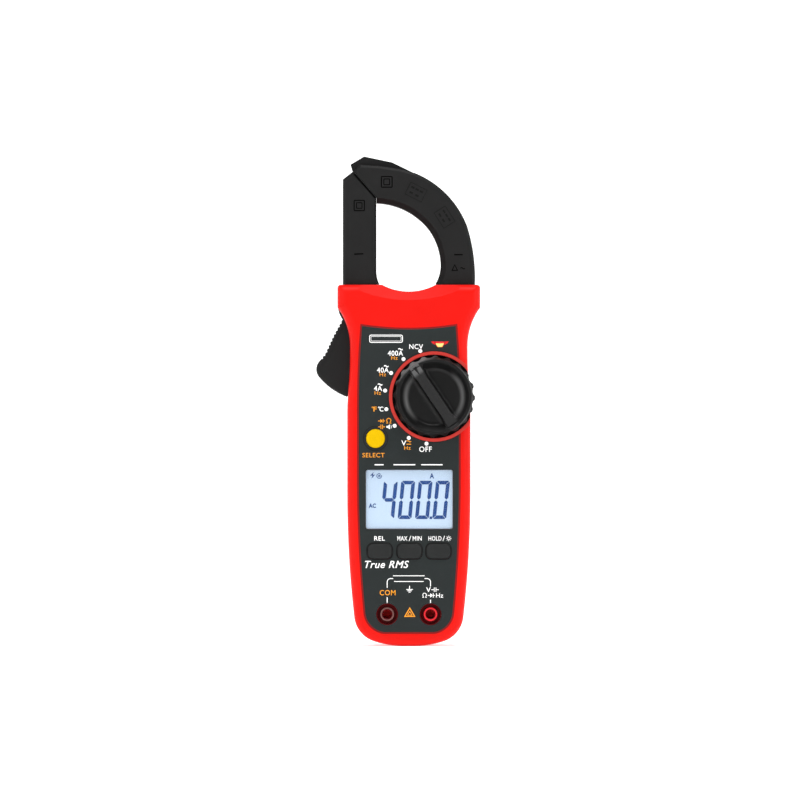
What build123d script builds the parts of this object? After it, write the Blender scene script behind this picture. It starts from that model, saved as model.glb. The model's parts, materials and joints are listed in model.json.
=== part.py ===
from build123d import *

import os
from math import acos, cos, radians, sin

# A pocket clamp meter: a hand-held case with a display, a rotary dial, four keys and two test-lead jacks,
# a fixed jaw, and a moving jaw on a pivot that the trigger at its side opens. Millimetres. +Z runs up the
# meter to the jaws, the face looks along -Y, and the origin is the middle of the conductor between the jaws.

# Case
HEAD_TOP = -11.0
HEAD_HALF = 31.35
HEAD_CORNER = 1.5
WAIST_HALF = 25.8
WAIST_TOP = -38.0
WAIST_CENTRE_X = 54.6
CASE_HALF = 27.05
CASE_BOTTOM = -169.7
FRONT_Y = -15.0
BACK_Y = 15.0
WALL = 2.0
INNER_FRONT_Y = -12.9
INNER_BACK_Y = 13.0
EDGE_ROUND = 4.0
SCOOP_FRONT_RADIUS = 59.0
SCOOP_LOW = -17.8
SCOOP_DEPTH = 7.0

# Face panel
PANEL_SEAT_Y = -13.9
PANEL_FRONT_Y = -15.2
PANEL_GAP = 0.06

# Dial
DIAL_X = 11.1
DIAL_Z = -60.1
KNOB_RADIUS = 17.9
KNOB_FRONT_Y = -21.0
KNOB_BACK_Y = -12.5
LOBES = 20
LOBE_CUT_RADIUS = 3.2
LOBE_CUT_CENTRE = 20.2
POCKET_RADIUS = 18.3
RING_RADIUS = 19.8
RING_FRONT_Y = -16.3
POCKET_FLOOR_Y = -12.2
POCKET_BACK_Y = -10.6
SHAFT_RADIUS = 3.0
SHAFT_FIT = 0.05
GRIP_DIRECTION = 124.0
DETENT_CIRCLE = 10.0

# Display
LCD_X = 0.2
LCD_Z = -105.2
LCD_WIDTH = 38.0
LCD_HEIGHT = 25.8

# Keys
KEY_Z = -127.9
KEY_XS = {"rel_button": -12.75, "max_min_button": 0.3, "hold_button": 13.0}
KEY_WIDTH = 10.6
KEY_HEIGHT = 6.5
KEY_CORNER = 2.3
SELECT_X = -14.6
SELECT_Z = -78.5
SELECT_RADIUS = 4.1
KEY_GAP = 0.15
BUTTON_BACK_Y = -11.8

# Test-lead jacks
JACK_X = 9.5
JACK_Z = -155.6
JACK_HOLE_RADIUS = 4.8
COLLAR_RADIUS = 3.0
CONTACT_RADIUS = 2.4
CONTACT_FRONT_Y = -11.9
PLUG_RADIUS = 2.0
COLLAR_FRONT_Y = -14.6
JACK_FLOOR_Y = -12.4

# Warning light
LENS_X = 13.6
LENS_Z = -37.2

# Main board
BOARD_FRONT_Y = -8.4
BOARD_BACK_Y = -6.8
BOARD_TOP = -33.0

# Screws that hold the case, the board and the fixed jaw: X and Z of each
CASE_SCREWS = [(-21.5, -67.5), (20.8, -37.5), (-19.5, -143.0), (19.5, -143.0)]
BOARD_SCREWS = [(-19.3, -86.2), (19.3, -85.0), (0.0, -143.0)]
JAW_SCREWS = [(-5.5, -23.2), (17.5, -29.0)]

# Jaws, trigger and pivot
JAW_HALF = 7.0
JAW_WALL = 2.0
JAW_GAP = 0.07
SEAM_LOW = (-14.2, 27.3)
SEAM_HIGH = (-24.4, 38.9)
TRIGGER_HALF = 6.3
PIVOT_X = -21.0
PIVOT_Z = -20.0
HUB_RADIUS = 10.2
PIN_RADIUS = 2.0
PIN_FIT = 0.05
BUSH_RADIUS = 3.2
SLOT_HALF = 7.3
TRIGGER_SLOT_HALF = 6.8
CORE_WIDTH = 5.0
CORE_HALF = 3.0
COIL_HALF = 4.5
TRIGGER_SCREWS = [(-33.4, -42.5), (-32.5, -52.5)]
NOTCHES = 11
NOTCH_RADIUS = 0.42
TRIGGER_GRIP = [(-28.6, -25.2), (-33.2, -33.4), (-36.7, -41.2), (-39.2, -44.4)]

# Batteries
CELL_RADIUS = 5.2
CELL_LENGTH = 43.7
CELL_X = 6.2
CELL_Y = 7.6
WELL_TOP = -100.2
WELL_BOTTOM = -147.9
WELL_HALF = 12.6
WELL_FLOOR_Y = 2.2
COVER_TOP = -99.6
COVER_BOTTOM = -156.0
COVER_HALF = 13.2
COVER_SCREW_Z = -152.4

os.makedirs("parts", exist_ok=True)


def keep(piece, name):
    """Labels a finished piece and writes it."""
    piece.part.label = name
    export_step(piece.part, f"parts/{name}.step")


def facing(y):
    """The plane at depth y as seen from the front: X across, Z up, extruding towards the viewer."""
    return Plane.XZ.offset(-y)


def block(x0, x1, y0, y1, z0, z1, mode=Mode.ADD):
    """A box between two corners."""
    centre = ((x0 + x1) / 2, (y0 + y1) / 2, (z0 + z1) / 2)
    with Locations(centre):
        Box(x1 - x0, y1 - y0, z1 - z0, mode=mode)


def posts(places, radius, back_y, front_y, mode=Mode.ADD):
    """Round posts or holes along Y at X, Z places."""
    with BuildSketch(facing(back_y)) as section:
        with Locations(*places):
            Circle(radius)
    extrude(section.sketch, amount=back_y - front_y, mode=mode)


def screws(places, shank_radius, tip_y, head_radius, seat_y, head_height):
    """Pan-head screws driven from the back, each with a cross recess in its head."""
    with BuildPart() as group:
        posts(places, shank_radius, seat_y, tip_y)
        posts(places, head_radius, seat_y + head_height, seat_y)
        fillet(group.faces().sort_by(Axis.Y)[-1].edges(), head_height * 0.3)
        with BuildSketch(facing(seat_y + head_height)):
            with Locations(*places):
                Rectangle(head_radius * 1.2, head_radius * 0.25)
                Rectangle(head_radius * 0.25, head_radius * 1.2)
        extrude(amount=head_height * 0.5, mode=Mode.SUBTRACT)
    return group


def coil_spring(start, direction, radius, wire, pitch, length):
    """A helical spring from a start point along a direction."""
    with BuildPart() as spring:
        with BuildLine() as path:
            Helix(pitch, length, radius, center=start, direction=direction)
        with BuildSketch(Plane(origin=path.line @ 0, z_dir=path.line % 0)):
            Circle(wire)
        sweep(path=path.line, is_frenet=True)
    return spring


def group_of(builders):
    """One part holding several separate solids."""
    with BuildPart() as group:
        for builder in builders:
            add(builder.part)
    return group


def body_outline(inset=0.0):
    """The case seen from the front: square head, waist, long flanks and a rounded foot."""
    waist_radius = WAIST_CENTRE_X - WAIST_HALF + inset
    waist_turn = acos((WAIST_CENTRE_X - HEAD_HALF + inset) / waist_radius)

    def waist_point(turn):
        return (WAIST_CENTRE_X - waist_radius * cos(turn), WAIST_TOP + waist_radius * sin(turn))

    head_half = HEAD_HALF - inset
    waist_half = WAIST_HALF - inset
    case_half = CASE_HALF - inset
    with BuildSketch() as outline:
        with BuildLine():
            Polyline((0, HEAD_TOP - inset), (head_half, HEAD_TOP - inset), waist_point(waist_turn))
            ThreePointArc(waist_point(waist_turn), waist_point(waist_turn / 2), waist_point(0))
            Line((waist_half, WAIST_TOP), (waist_half, -42.0))
            swell = TangentArc((waist_half, -42.0), (26.6 - inset, -58.0), tangent=(0, -1))
            TangentArc(swell @ 1, (case_half, -67.0), tangent=swell % 1)
            Line((case_half, -67.0), (case_half, -103.0))
            flank = TangentArc((case_half, -103.0), (24.0 - inset, -157.0), tangent=(0, -1))
            corner = TangentArc(flank @ 1, (15.5 - 0.3 * inset, -167.5 + 0.95 * inset), tangent=flank % 1)
            TangentArc(corner @ 1, (0, CASE_BOTTOM + inset), tangent=corner % 1)
            Line((0, CASE_BOTTOM + inset), (0, HEAD_TOP - inset))
        make_face()
        fillet(outline.vertices().group_by(Axis.Y)[-1].sort_by(Axis.X)[-1], max(HEAD_CORNER - inset, 0.4))
        mirror(about=Plane.YZ)
    return outline.sketch


def panel_outline(inset=0.0):
    """The face panel: a long tongue with a hollow top edge and a rounded foot."""
    half = 22.15 - inset
    top = -28.9 - inset
    with BuildSketch() as outline:
        with BuildLine():
            TangentArc((half, -66.0), (20.7 - inset, top), tangent=(0, 1))
            Line((half, -66.0), (half, -96.0))
            flank = TangentArc((half, -96.0), (19.3 - inset, -155.0), tangent=(0, -1))
            TangentArc(flank @ 1, (11.0, -163.6 + inset), tangent=flank % 1)
            Line((11.0, -163.6 + inset), (0, -163.6 + inset))
            mirror(about=Plane.YZ)
            ThreePointArc((inset - 20.7, top), (0, top - 1.6), (20.7 - inset, top))
        make_face()
    return outline.sketch


def fixed_jaw_outline():
    """The hooked jaw from its slanted tip round to its root inside the head."""
    with BuildSketch() as outline:
        with BuildLine():
            Polyline(SEAM_LOW, SEAM_HIGH, (-21.4, 41.8), (-12.4, 41.2), (-4.0, 39.9), (2.5, 38.3))
            ThreePointArc((2.5, 38.3), (18.2, 27.2), (25.6, 15.0))
            ThreePointArc((25.6, 15.0), (28.5, 2.0), (29.1, -10.3))
            Polyline((29.1, -10.3), (28.7, -20.0), (24.6, -28.0), (24.0, -29.5), (-10.4, -29.5))
            Polyline((-10.4, -29.5), (-10.4, -16.6), (12.2, -16.6), (11.9, -10.3))
            ThreePointArc((11.9, -10.3), (13.4, -6.7), (14.05, -2.4))
            ThreePointArc((14.05, -2.4), (13.1, 4.4), (8.8, 13.4))
            ThreePointArc((8.8, 13.4), (0.8, 20.5), (-14.2, 25.0))
            Line((-14.2, 25.0), SEAM_LOW)
        make_face()
        with Locations(JAW_SCREWS[1]):
            Circle(3.4)
    return outline.sketch


def seam_height(x):
    """How high the slanted seam between the jaws is at some X."""
    slope = (SEAM_HIGH[1] - SEAM_LOW[1]) / (SEAM_HIGH[0] - SEAM_LOW[0])
    return SEAM_LOW[1] + slope * (x - SEAM_LOW[0])


def moving_jaw_outline():
    """The straight jaw down to the round hub on the pivot."""
    with BuildSketch() as outline:
        with BuildLine():
            Polyline(
                (-14.3, -5.0),
                (-14.3, seam_height(-14.3) - JAW_GAP),
                (-24.5, seam_height(-24.5) - JAW_GAP),
                (-29.0, 35.4),
                (-29.0, -12.0),
                (-14.3, -12.0),
                (-14.3, -10.7),
                (-13.0, -10.7),
            )
            ThreePointArc((-13.0, -10.7), (-13.95, -7.9), (-14.3, -5.0))
        make_face()
        with Locations((PIVOT_X, PIVOT_Z)):
            Circle(HUB_RADIUS)
    return outline.sketch


def trigger_outline():
    """The trigger beside the waist: a notched outer edge that hooks back in at its foot."""
    with BuildSketch() as outline:
        with BuildLine():
            Polyline((-22.0, -22.0), *TRIGGER_GRIP)
            ThreePointArc((-39.2, -44.4), (-40.7, -47.9), (-39.4, -51.6))
            ThreePointArc((-39.4, -51.6), (-34.2, -56.5), (-27.4, -60.2))
            Polyline((-27.4, -60.2), (-25.0, -59.0), (-24.0, -44.0), (-18.5, -28.0), (-22.0, -22.0))
        make_face()
    return outline.sketch


def dial_disc(radius, back_y, front_y, mode=Mode.ADD):
    """A disc or hole about the dial's axis."""
    posts([(DIAL_X, DIAL_Z)], radius, back_y, front_y, mode)


def key_shape(grow=0.0):
    """A key with well rounded corners."""
    RectangleRounded(KEY_WIDTH + 2 * grow, KEY_HEIGHT + 2 * grow, KEY_CORNER + grow)


def lens_outline(grow=0.0):
    """The warning light in its place on the face, narrower at its foot."""
    with BuildSketch() as outline:
        with BuildLine():
            Polyline(
                (LENS_X - 2.2 - grow, LENS_Z + 1.2 + grow),
                (LENS_X + 2.2 + grow, LENS_Z + 1.2 + grow),
                (LENS_X + 1.2 + grow, LENS_Z - 1.2 - grow),
                (LENS_X - 1.2 - grow, LENS_Z - 1.2 - grow),
                close=True,
            )
        make_face()
    return outline.sketch


def face_openings(back_y, front_y):
    """The holes through the panel, and through the wall behind it."""
    with BuildSketch(facing(back_y)) as holes:
        with Locations((LCD_X, LCD_Z)):
            RectangleRounded(LCD_WIDTH + 0.2, LCD_HEIGHT + 0.2, 1.0)
        with Locations(*[(x, KEY_Z) for x in KEY_XS.values()]):
            key_shape(KEY_GAP)
        with Locations((SELECT_X, SELECT_Z)):
            Circle(SELECT_RADIUS + KEY_GAP)
        with Locations((-JACK_X, JACK_Z), (JACK_X, JACK_Z)):
            Circle(JACK_HOLE_RADIUS)
        add(lens_outline(0.1))
    extrude(holes.sketch, amount=back_y - front_y, mode=Mode.SUBTRACT)


def jaw_openings():
    """Clears the head's top for both jaws, and its side for the hub and the trigger."""
    posts([(PIVOT_X, PIVOT_Z)], HUB_RADIUS + 0.4, SLOT_HALF, -SLOT_HALF, Mode.SUBTRACT)
    block(-40.0, -13.8, -SLOT_HALF, SLOT_HALF, -31.0, 0.0, mode=Mode.SUBTRACT)
    block(11.4, HEAD_HALF - WALL, -SLOT_HALF, SLOT_HALF, -20.0, 0.0, mode=Mode.SUBTRACT)
    block(-40.0, -22.0, -TRIGGER_SLOT_HALF, TRIGGER_SLOT_HALF, -61.8, -20.0, mode=Mode.SUBTRACT)


def conductor_scoop():
    """The shallow round floor of the jaw window."""
    with BuildSketch(facing(BACK_Y + 1)) as scoop:
        with Locations((0, 10.6)):
            Circle(24.6)
    extrude(scoop.sketch, amount=BACK_Y - FRONT_Y + 2, mode=Mode.SUBTRACT)


# Case shells

with BuildPart() as front_shell:
    with BuildSketch(facing(0)):
        add(body_outline())
    extrude(amount=-FRONT_Y)
    fillet(front_shell.faces().sort_by(Axis.Y)[0].edges(), EDGE_ROUND)
    with BuildSketch(facing(0)):
        add(body_outline(WALL))
    extrude(amount=-INNER_FRONT_Y, mode=Mode.SUBTRACT)
    block(-13.8, 11.4, INNER_FRONT_Y, 0, -16.4, -12.0)
    block(-20.0, 20.0, INNER_FRONT_Y, -9.5, -16.4, -12.0)
    # cup of the dial and its raised ring, as far as the case's side
    with BuildSketch(facing(POCKET_BACK_Y)):
        with Locations((DIAL_X, DIAL_Z)):
            Circle(RING_RADIUS)
        add(body_outline(0.5), mode=Mode.INTERSECT)
    extrude(amount=POCKET_BACK_Y - RING_FRONT_Y)
    posts(CASE_SCREWS, 3.2, 0, INNER_FRONT_Y - 0.2)
    posts(BOARD_SCREWS, 2.3, BOARD_FRONT_Y, INNER_FRONT_Y - 0.2)
    posts(JAW_SCREWS, 3.2, -JAW_HALF - 0.05, INNER_FRONT_Y - 0.2)
    posts([(PIVOT_X, PIVOT_Z)], 4.8, -SLOT_HALF, INNER_FRONT_Y - 0.2)
    posts(CASE_SCREWS, 1.27, 0, -9.0, Mode.SUBTRACT)
    posts(BOARD_SCREWS, 0.82, BOARD_FRONT_Y, -12.4, Mode.SUBTRACT)
    posts(JAW_SCREWS, 1.27, -JAW_HALF, -12.2, Mode.SUBTRACT)
    posts([(PIVOT_X, PIVOT_Z)], PIN_RADIUS + 0.02, -SLOT_HALF, -12.2, Mode.SUBTRACT)
    dial_disc(POCKET_RADIUS, POCKET_FLOOR_Y, RING_FRONT_Y - 1, Mode.SUBTRACT)
    dial_disc(SHAFT_RADIUS + SHAFT_FIT, POCKET_BACK_Y, POCKET_FLOOR_Y, Mode.SUBTRACT)
    # seat of the face panel
    with BuildSketch(facing(PANEL_SEAT_Y)):
        add(panel_outline())
        with Locations((DIAL_X, DIAL_Z)):
            Circle(RING_RADIUS, mode=Mode.SUBTRACT)
    extrude(amount=PANEL_SEAT_Y - FRONT_Y + 1, mode=Mode.SUBTRACT)
    face_openings(INNER_FRONT_Y + 0.5, FRONT_Y - 1)
    # scooped front edge of the head
    with BuildSketch(facing(FRONT_Y - 1)):
        with Locations((0, SCOOP_LOW + SCOOP_FRONT_RADIUS)):
            Circle(SCOOP_FRONT_RADIUS + 1)
    with BuildSketch(facing(FRONT_Y + SCOOP_DEPTH + 1)):
        with Locations((0, SCOOP_LOW + SCOOP_FRONT_RADIUS)):
            Circle(SCOOP_FRONT_RADIUS - SCOOP_DEPTH - 1)
    loft(mode=Mode.SUBTRACT)
    conductor_scoop()
    jaw_openings()
keep(front_shell, "front_shell")

with BuildPart() as rear_shell:
    with BuildSketch(facing(0)):
        add(body_outline())
    extrude(amount=-BACK_Y)
    fillet(rear_shell.faces().sort_by(Axis.Y)[-1].edges(), EDGE_ROUND)
    with BuildSketch(facing(0)):
        add(body_outline(WALL))
    extrude(amount=-INNER_BACK_Y, mode=Mode.SUBTRACT)
    block(-13.8, 11.4, 0, INNER_BACK_Y, -16.4, -12.0)
    # battery well and the shelf that carries the cover
    block(-14.0, 14.0, WELL_FLOOR_Y - 1.4, INNER_BACK_Y, WELL_BOTTOM - 1.4, WELL_TOP + 1.4)
    block(-14.0, 14.0, 11.4, INNER_BACK_Y, COVER_BOTTOM - 1.5, WELL_BOTTOM)
    posts([(0, COVER_SCREW_Z)], 2.8, INNER_BACK_Y, 4.0)
    posts(CASE_SCREWS, 3.2, INNER_BACK_Y + 0.2, 0)
    posts(JAW_SCREWS, 3.2, INNER_BACK_Y + 0.2, JAW_HALF + 0.05)
    posts([(PIVOT_X, PIVOT_Z)], 3.7, INNER_BACK_Y + 0.2, SLOT_HALF)
    posts(CASE_SCREWS + JAW_SCREWS, 1.5, INNER_BACK_Y, 0, Mode.SUBTRACT)
    posts(CASE_SCREWS + JAW_SCREWS, 2.8, BACK_Y, 9.0, Mode.SUBTRACT)
    posts([(PIVOT_X, PIVOT_Z)], PIN_RADIUS + 0.02, 12.2, SLOT_HALF, Mode.SUBTRACT)
    posts([(0, COVER_SCREW_Z)], 1.02, INNER_BACK_Y, 5.0, Mode.SUBTRACT)
    block(-WELL_HALF, WELL_HALF, WELL_FLOOR_Y, BACK_Y, WELL_BOTTOM, WELL_TOP, mode=Mode.SUBTRACT)
    block(-3.1, 3.1, 11.2, INNER_BACK_Y, WELL_TOP - 1, WELL_TOP + 2.2, mode=Mode.SUBTRACT)
    with BuildSketch(facing(BACK_Y + 1)):
        with Locations((0, (COVER_TOP + COVER_BOTTOM) / 2)):
            RectangleRounded(2 * COVER_HALF, COVER_TOP - COVER_BOTTOM, 2.5)
    extrude(amount=BACK_Y + 1 - INNER_BACK_Y, mode=Mode.SUBTRACT)
    conductor_scoop()
    jaw_openings()
keep(rear_shell, "rear_shell")

with BuildPart() as face_panel:
    with BuildSketch(facing(PANEL_SEAT_Y)):
        add(panel_outline(PANEL_GAP))
    extrude(amount=PANEL_SEAT_Y - PANEL_FRONT_Y - 0.3)
    with BuildSketch(facing(PANEL_FRONT_Y + 0.3)):
        add(panel_outline(PANEL_GAP))
    extrude(amount=0.3, taper=45)
    dial_disc(RING_RADIUS + PANEL_GAP, PANEL_SEAT_Y, PANEL_FRONT_Y, Mode.SUBTRACT)
    face_openings(PANEL_SEAT_Y + 1, PANEL_FRONT_Y - 1)
keep(face_panel, "face_panel")

with BuildPart() as battery_cover:
    with BuildSketch(facing(BACK_Y)):
        with Locations((0, (COVER_TOP + COVER_BOTTOM) / 2)):
            RectangleRounded(2 * COVER_HALF - 0.3, COVER_TOP - COVER_BOTTOM - 0.3, 2.35)
    extrude(amount=BACK_Y - INNER_BACK_Y - 0.05)
    chamfer(battery_cover.faces().sort_by(Axis.Y)[-1].edges(), 0.4)
    # stepped tongue that hooks under the rear shell
    block(-2.9, 2.9, 12.5, 13.2, -101.9, -99.85)
    block(-2.9, 2.9, 11.6, 12.95, -100.9, -98.2)
    posts([(0, COVER_SCREW_Z)], 1.3, BACK_Y, 12.0, Mode.SUBTRACT)
    posts([(0, COVER_SCREW_Z)], 2.3, BACK_Y, 14.0, Mode.SUBTRACT)
    # thumb ribs
    for step in range(5):
        block(-6.0, 6.0, 14.6, 16.0, -105.6 - 2.2 * step, -104.6 - 2.2 * step, mode=Mode.SUBTRACT)
keep(battery_cover, "battery_cover")

keep(screws([(0, COVER_SCREW_Z)], 1.0, 6.0, 2.1, 14.0, 0.9), "battery_cover_screw")
keep(screws(CASE_SCREWS, 1.25, -8.5, 2.5, 9.0, 1.8), "case_screws")
keep(screws(JAW_SCREWS, 1.25, -11.8, 2.5, 9.0, 1.8), "jaw_screws")
keep(screws(BOARD_SCREWS, 0.8, -12.0, 1.9, BOARD_BACK_Y, 1.3), "board_screws")

# Display

with BuildPart() as lcd_window:
    with BuildSketch(facing(-13.95)):
        with Locations((LCD_X, LCD_Z)):
            RectangleRounded(LCD_WIDTH, LCD_HEIGHT, 0.9)
    extrude(amount=1.15)
    chamfer(lcd_window.faces().sort_by(Axis.Y)[0].edges(), 0.2)
keep(lcd_window, "lcd_window")

with BuildPart() as lcd_glass:
    block(LCD_X - 18.9, LCD_X + 18.9, -13.85, -12.1, LCD_Z - 12.8, LCD_Z + 12.8)
    chamfer(lcd_glass.edges().filter_by(Axis.Y), 0.6)
keep(lcd_glass, "lcd_glass")

with BuildPart() as lcd_holder:
    block(LCD_X - 21.0, LCD_X + 21.0, -12.85, BOARD_FRONT_Y, LCD_Z - 15.0, LCD_Z + 15.0)
    block(LCD_X - 19.0, LCD_X + 19.0, -12.85, -12.1, LCD_Z - 12.9, LCD_Z + 12.9, mode=Mode.SUBTRACT)
    block(LCD_X - 18.1, LCD_X + 18.1, -12.1, BOARD_FRONT_Y, LCD_Z - 10.0, LCD_Z + 10.0, mode=Mode.SUBTRACT)
    for z in (LCD_Z - 12.0, LCD_Z + 12.0):
        block(LCD_X - 17.1, LCD_X + 17.1, -12.1, BOARD_FRONT_Y, z - 0.8, z + 0.8, mode=Mode.SUBTRACT)
keep(lcd_holder, "lcd_holder")

with BuildPart() as backlight_plate:
    block(LCD_X - 18.0, LCD_X + 18.0, -12.0, -9.6, LCD_Z - 9.9, LCD_Z + 9.9)
    chamfer(backlight_plate.edges().filter_by(Axis.Y), 0.8)
keep(backlight_plate, "backlight_plate")

with BuildPart() as connector_strips:
    for z in (LCD_Z - 12.0, LCD_Z + 12.0):
        block(LCD_X - 17.0, LCD_X + 17.0, -12.1, BOARD_FRONT_Y, z - 0.7, z + 0.7)
keep(connector_strips, "connector_strips")

with BuildPart() as warning_lens:
    with BuildSketch(facing(-11.5)):
        add(lens_outline())
    extrude(amount=-11.5 - PANEL_FRONT_Y + 0.2)
    chamfer(warning_lens.faces().sort_by(Axis.Y)[0].edges(), 0.25)
keep(warning_lens, "warning_lens")

# Main board and what stands on it

with BuildPart() as main_board:
    with BuildSketch(facing(BOARD_BACK_Y)):
        add(body_outline(WALL + 1.0))
        with Locations((0, BOARD_TOP - 100)):
            Rectangle(80, 200, mode=Mode.INTERSECT)
        with Locations(*CASE_SCREWS):
            Circle(3.6, mode=Mode.SUBTRACT)
        with Locations(*BOARD_SCREWS):
            Circle(1.0, mode=Mode.SUBTRACT)
        with Locations((-JACK_X, JACK_Z), (JACK_X, JACK_Z)):
            Circle(JACK_HOLE_RADIUS + 0.15, mode=Mode.SUBTRACT)
        with Locations((DIAL_X, DIAL_Z)):
            Circle(4.0, mode=Mode.SUBTRACT)
    extrude(amount=BOARD_BACK_Y - BOARD_FRONT_Y)
keep(main_board, "main_board")

with BuildPart() as measuring_chip:
    block(-7.0, 7.0, BOARD_BACK_Y, -5.2, -93.0, -79.0)
    chamfer(measuring_chip.faces().sort_by(Axis.Y)[-1].edges(), 0.3)
keep(measuring_chip, "measuring_chip")

with BuildPart() as buzzer:
    posts([(15.0, -72.0)], 6.0, BOARD_BACK_Y + 4.5, BOARD_BACK_Y)
    posts([(15.0, -72.0)], 1.2, BOARD_BACK_Y + 4.5, BOARD_BACK_Y + 3.5, Mode.SUBTRACT)
    fillet(buzzer.faces().sort_by(Axis.Y)[-1].edges().sort_by(SortBy.LENGTH)[-1], 0.6)
keep(buzzer, "buzzer")

with BuildPart() as tact_switches:
    switch_places = [(SELECT_X, SELECT_Z)] + [(x, KEY_Z) for x in KEY_XS.values()]
    with BuildSketch(facing(BOARD_FRONT_Y)):
        with Locations(*switch_places):
            RectangleRounded(5.0, 5.0, 0.5)
    extrude(amount=1.6)
    posts(switch_places, 1.4, BOARD_FRONT_Y - 1.6, -10.9)
keep(tact_switches, "tact_switches")

# Buttons


def button(x, z, shape, flange, proud):
    """A key with a flange that stops it behind the panel, and a foot over its switch."""
    with BuildPart() as piece:
        with BuildSketch(facing(BUTTON_BACK_Y)):
            with Locations((x, z)):
                shape()
        extrude(amount=BUTTON_BACK_Y - PANEL_FRONT_Y + proud)
        fillet(piece.faces().sort_by(Axis.Y)[0].edges(), 0.5)
        with BuildSketch(facing(BUTTON_BACK_Y)):
            with Locations((x, z)):
                flange()
        extrude(amount=0.9)
    return piece


def select_shape():
    Circle(SELECT_RADIUS)


def select_flange():
    Circle(SELECT_RADIUS + 1.0)


def key_flange():
    key_shape(0.7)


keep(button(SELECT_X, SELECT_Z, select_shape, select_flange, 1.1), "select_button")
for key_name, key_x in KEY_XS.items():
    keep(button(key_x, KEY_Z, key_shape, key_flange, 0.8), key_name)

# Dial

grip_plane = Plane(
    origin=(DIAL_X, KNOB_FRONT_Y + 3.7, DIAL_Z),
    x_dir=(cos(radians(GRIP_DIRECTION)), 0, sin(radians(GRIP_DIRECTION))),
    z_dir=(0, -1, 0),
)

# Detents under the knob: a spring and a ball in each of two blind holes
detent_places = []
for turn in (0, 180):
    angle = radians(GRIP_DIRECTION + turn)
    detent_places.append((DIAL_X + DETENT_CIRCLE * cos(angle), DIAL_Z + DETENT_CIRCLE * sin(angle)))

with BuildPart() as dial_knob:
    dial_disc(KNOB_RADIUS, KNOB_BACK_Y, KNOB_FRONT_Y)
    chamfer(dial_knob.faces().sort_by(Axis.Y)[0].edges(), 3.2, 1.5)
    with BuildSketch(facing(KNOB_BACK_Y)):
        with Locations((DIAL_X, DIAL_Z)):
            with PolarLocations(LOBE_CUT_CENTRE, LOBES, GRIP_DIRECTION + 180 / LOBES):
                Circle(LOBE_CUT_RADIUS)
    extrude(amount=KNOB_BACK_Y - KNOB_FRONT_Y, mode=Mode.SUBTRACT)
    # dished top with sloping wall
    with BuildSketch(facing(KNOB_FRONT_Y)):
        with Locations((DIAL_X, DIAL_Z)):
            Circle(15.3)
    with BuildSketch(facing(KNOB_FRONT_Y + 3.6)):
        with Locations((DIAL_X, DIAL_Z)):
            Circle(12.2)
    loft(mode=Mode.SUBTRACT)
    # grip bar that flares into the rim at both ends
    with BuildSketch(grip_plane):
        with BuildLine():
            ThreePointArc((-14.6, 3.6), (-11.0, 2.35), (-7.0, 2.2))
            Line((-7.0, 2.2), (7.0, 2.2))
            ThreePointArc((7.0, 2.2), (11.0, 2.35), (14.6, 3.6))
            Line((14.6, 3.6), (14.6, -3.6))
            ThreePointArc((14.6, -3.6), (11.0, -2.35), (7.0, -2.2))
            Line((7.0, -2.2), (-7.0, -2.2))
            ThreePointArc((-7.0, -2.2), (-11.0, -2.35), (-14.6, -3.6))
            Line((-14.6, -3.6), (-14.6, 3.6))
        make_face()
    extrude(amount=3.55)
    # soft hollows on both sides of the bar
    bowl_floor = KNOB_FRONT_Y + 3.6
    bowl_edges = dial_knob.edges().filter_by(
        lambda edge: all(abs(vertex.Y - bowl_floor) < 0.02 for vertex in edge.vertices())
    )
    fillet(bowl_edges, 2.4)
    # pointer groove at the bar's upper end
    with BuildSketch(grip_plane.offset(3.05)):
        with BuildLine():
            Polyline((11.2, 0), (15.4, 0.75), (15.4, -0.75), close=True)
        make_face()
    extrude(amount=1.0, mode=Mode.SUBTRACT)
    # hollow back with a boss for each detent
    dial_disc(16.0, KNOB_BACK_Y, -15.6, Mode.SUBTRACT)
    posts(detent_places, 1.8, -12.9, -16.0)
    posts(detent_places, 0.96, -12.9, -16.6, Mode.SUBTRACT)
    dial_disc(SHAFT_RADIUS, -9.3, -16.0)
    posts([(DIAL_X, DIAL_Z)], 0.92, -9.3, -15.0, Mode.SUBTRACT)
keep(dial_knob, "dial_knob")

with BuildPart() as dial_rotor:
    dial_disc(12.5, -9.3, -10.3)
    dial_disc(SHAFT_RADIUS + 0.02, -9.3, -10.3, Mode.SUBTRACT)
keep(dial_rotor, "dial_rotor")

with BuildPart() as rotor_contacts:
    with BuildSketch(facing(-8.5)):
        with Locations((DIAL_X, DIAL_Z)):
            with PolarLocations(8.5, 3):
                Rectangle(5.5, 2.4)
    extrude(amount=0.75)
keep(rotor_contacts, "rotor_contacts")

with BuildPart() as dial_screw:
    dial_disc(2.4, -8.0, -9.25)
    posts([(DIAL_X, DIAL_Z)], 0.9, -9.25, -14.5)
    with BuildSketch(facing(-8.0)):
        with Locations((DIAL_X, DIAL_Z)):
            Rectangle(2.8, 0.6)
            Rectangle(0.6, 2.8)
    extrude(amount=0.6, mode=Mode.SUBTRACT)
keep(dial_screw, "dial_screw")

with BuildPart() as detent_balls:
    with Locations(*[(x, -13.2, z) for x, z in detent_places]):
        Sphere(0.9)
keep(detent_balls, "detent_balls")

detent_springs = [coil_spring((x, -14.25, z), (0, -1, 0), 0.6, 0.14, 0.55, 2.2) for x, z in detent_places]
keep(group_of(detent_springs), "detent_springs")

# Test-lead jacks

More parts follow.
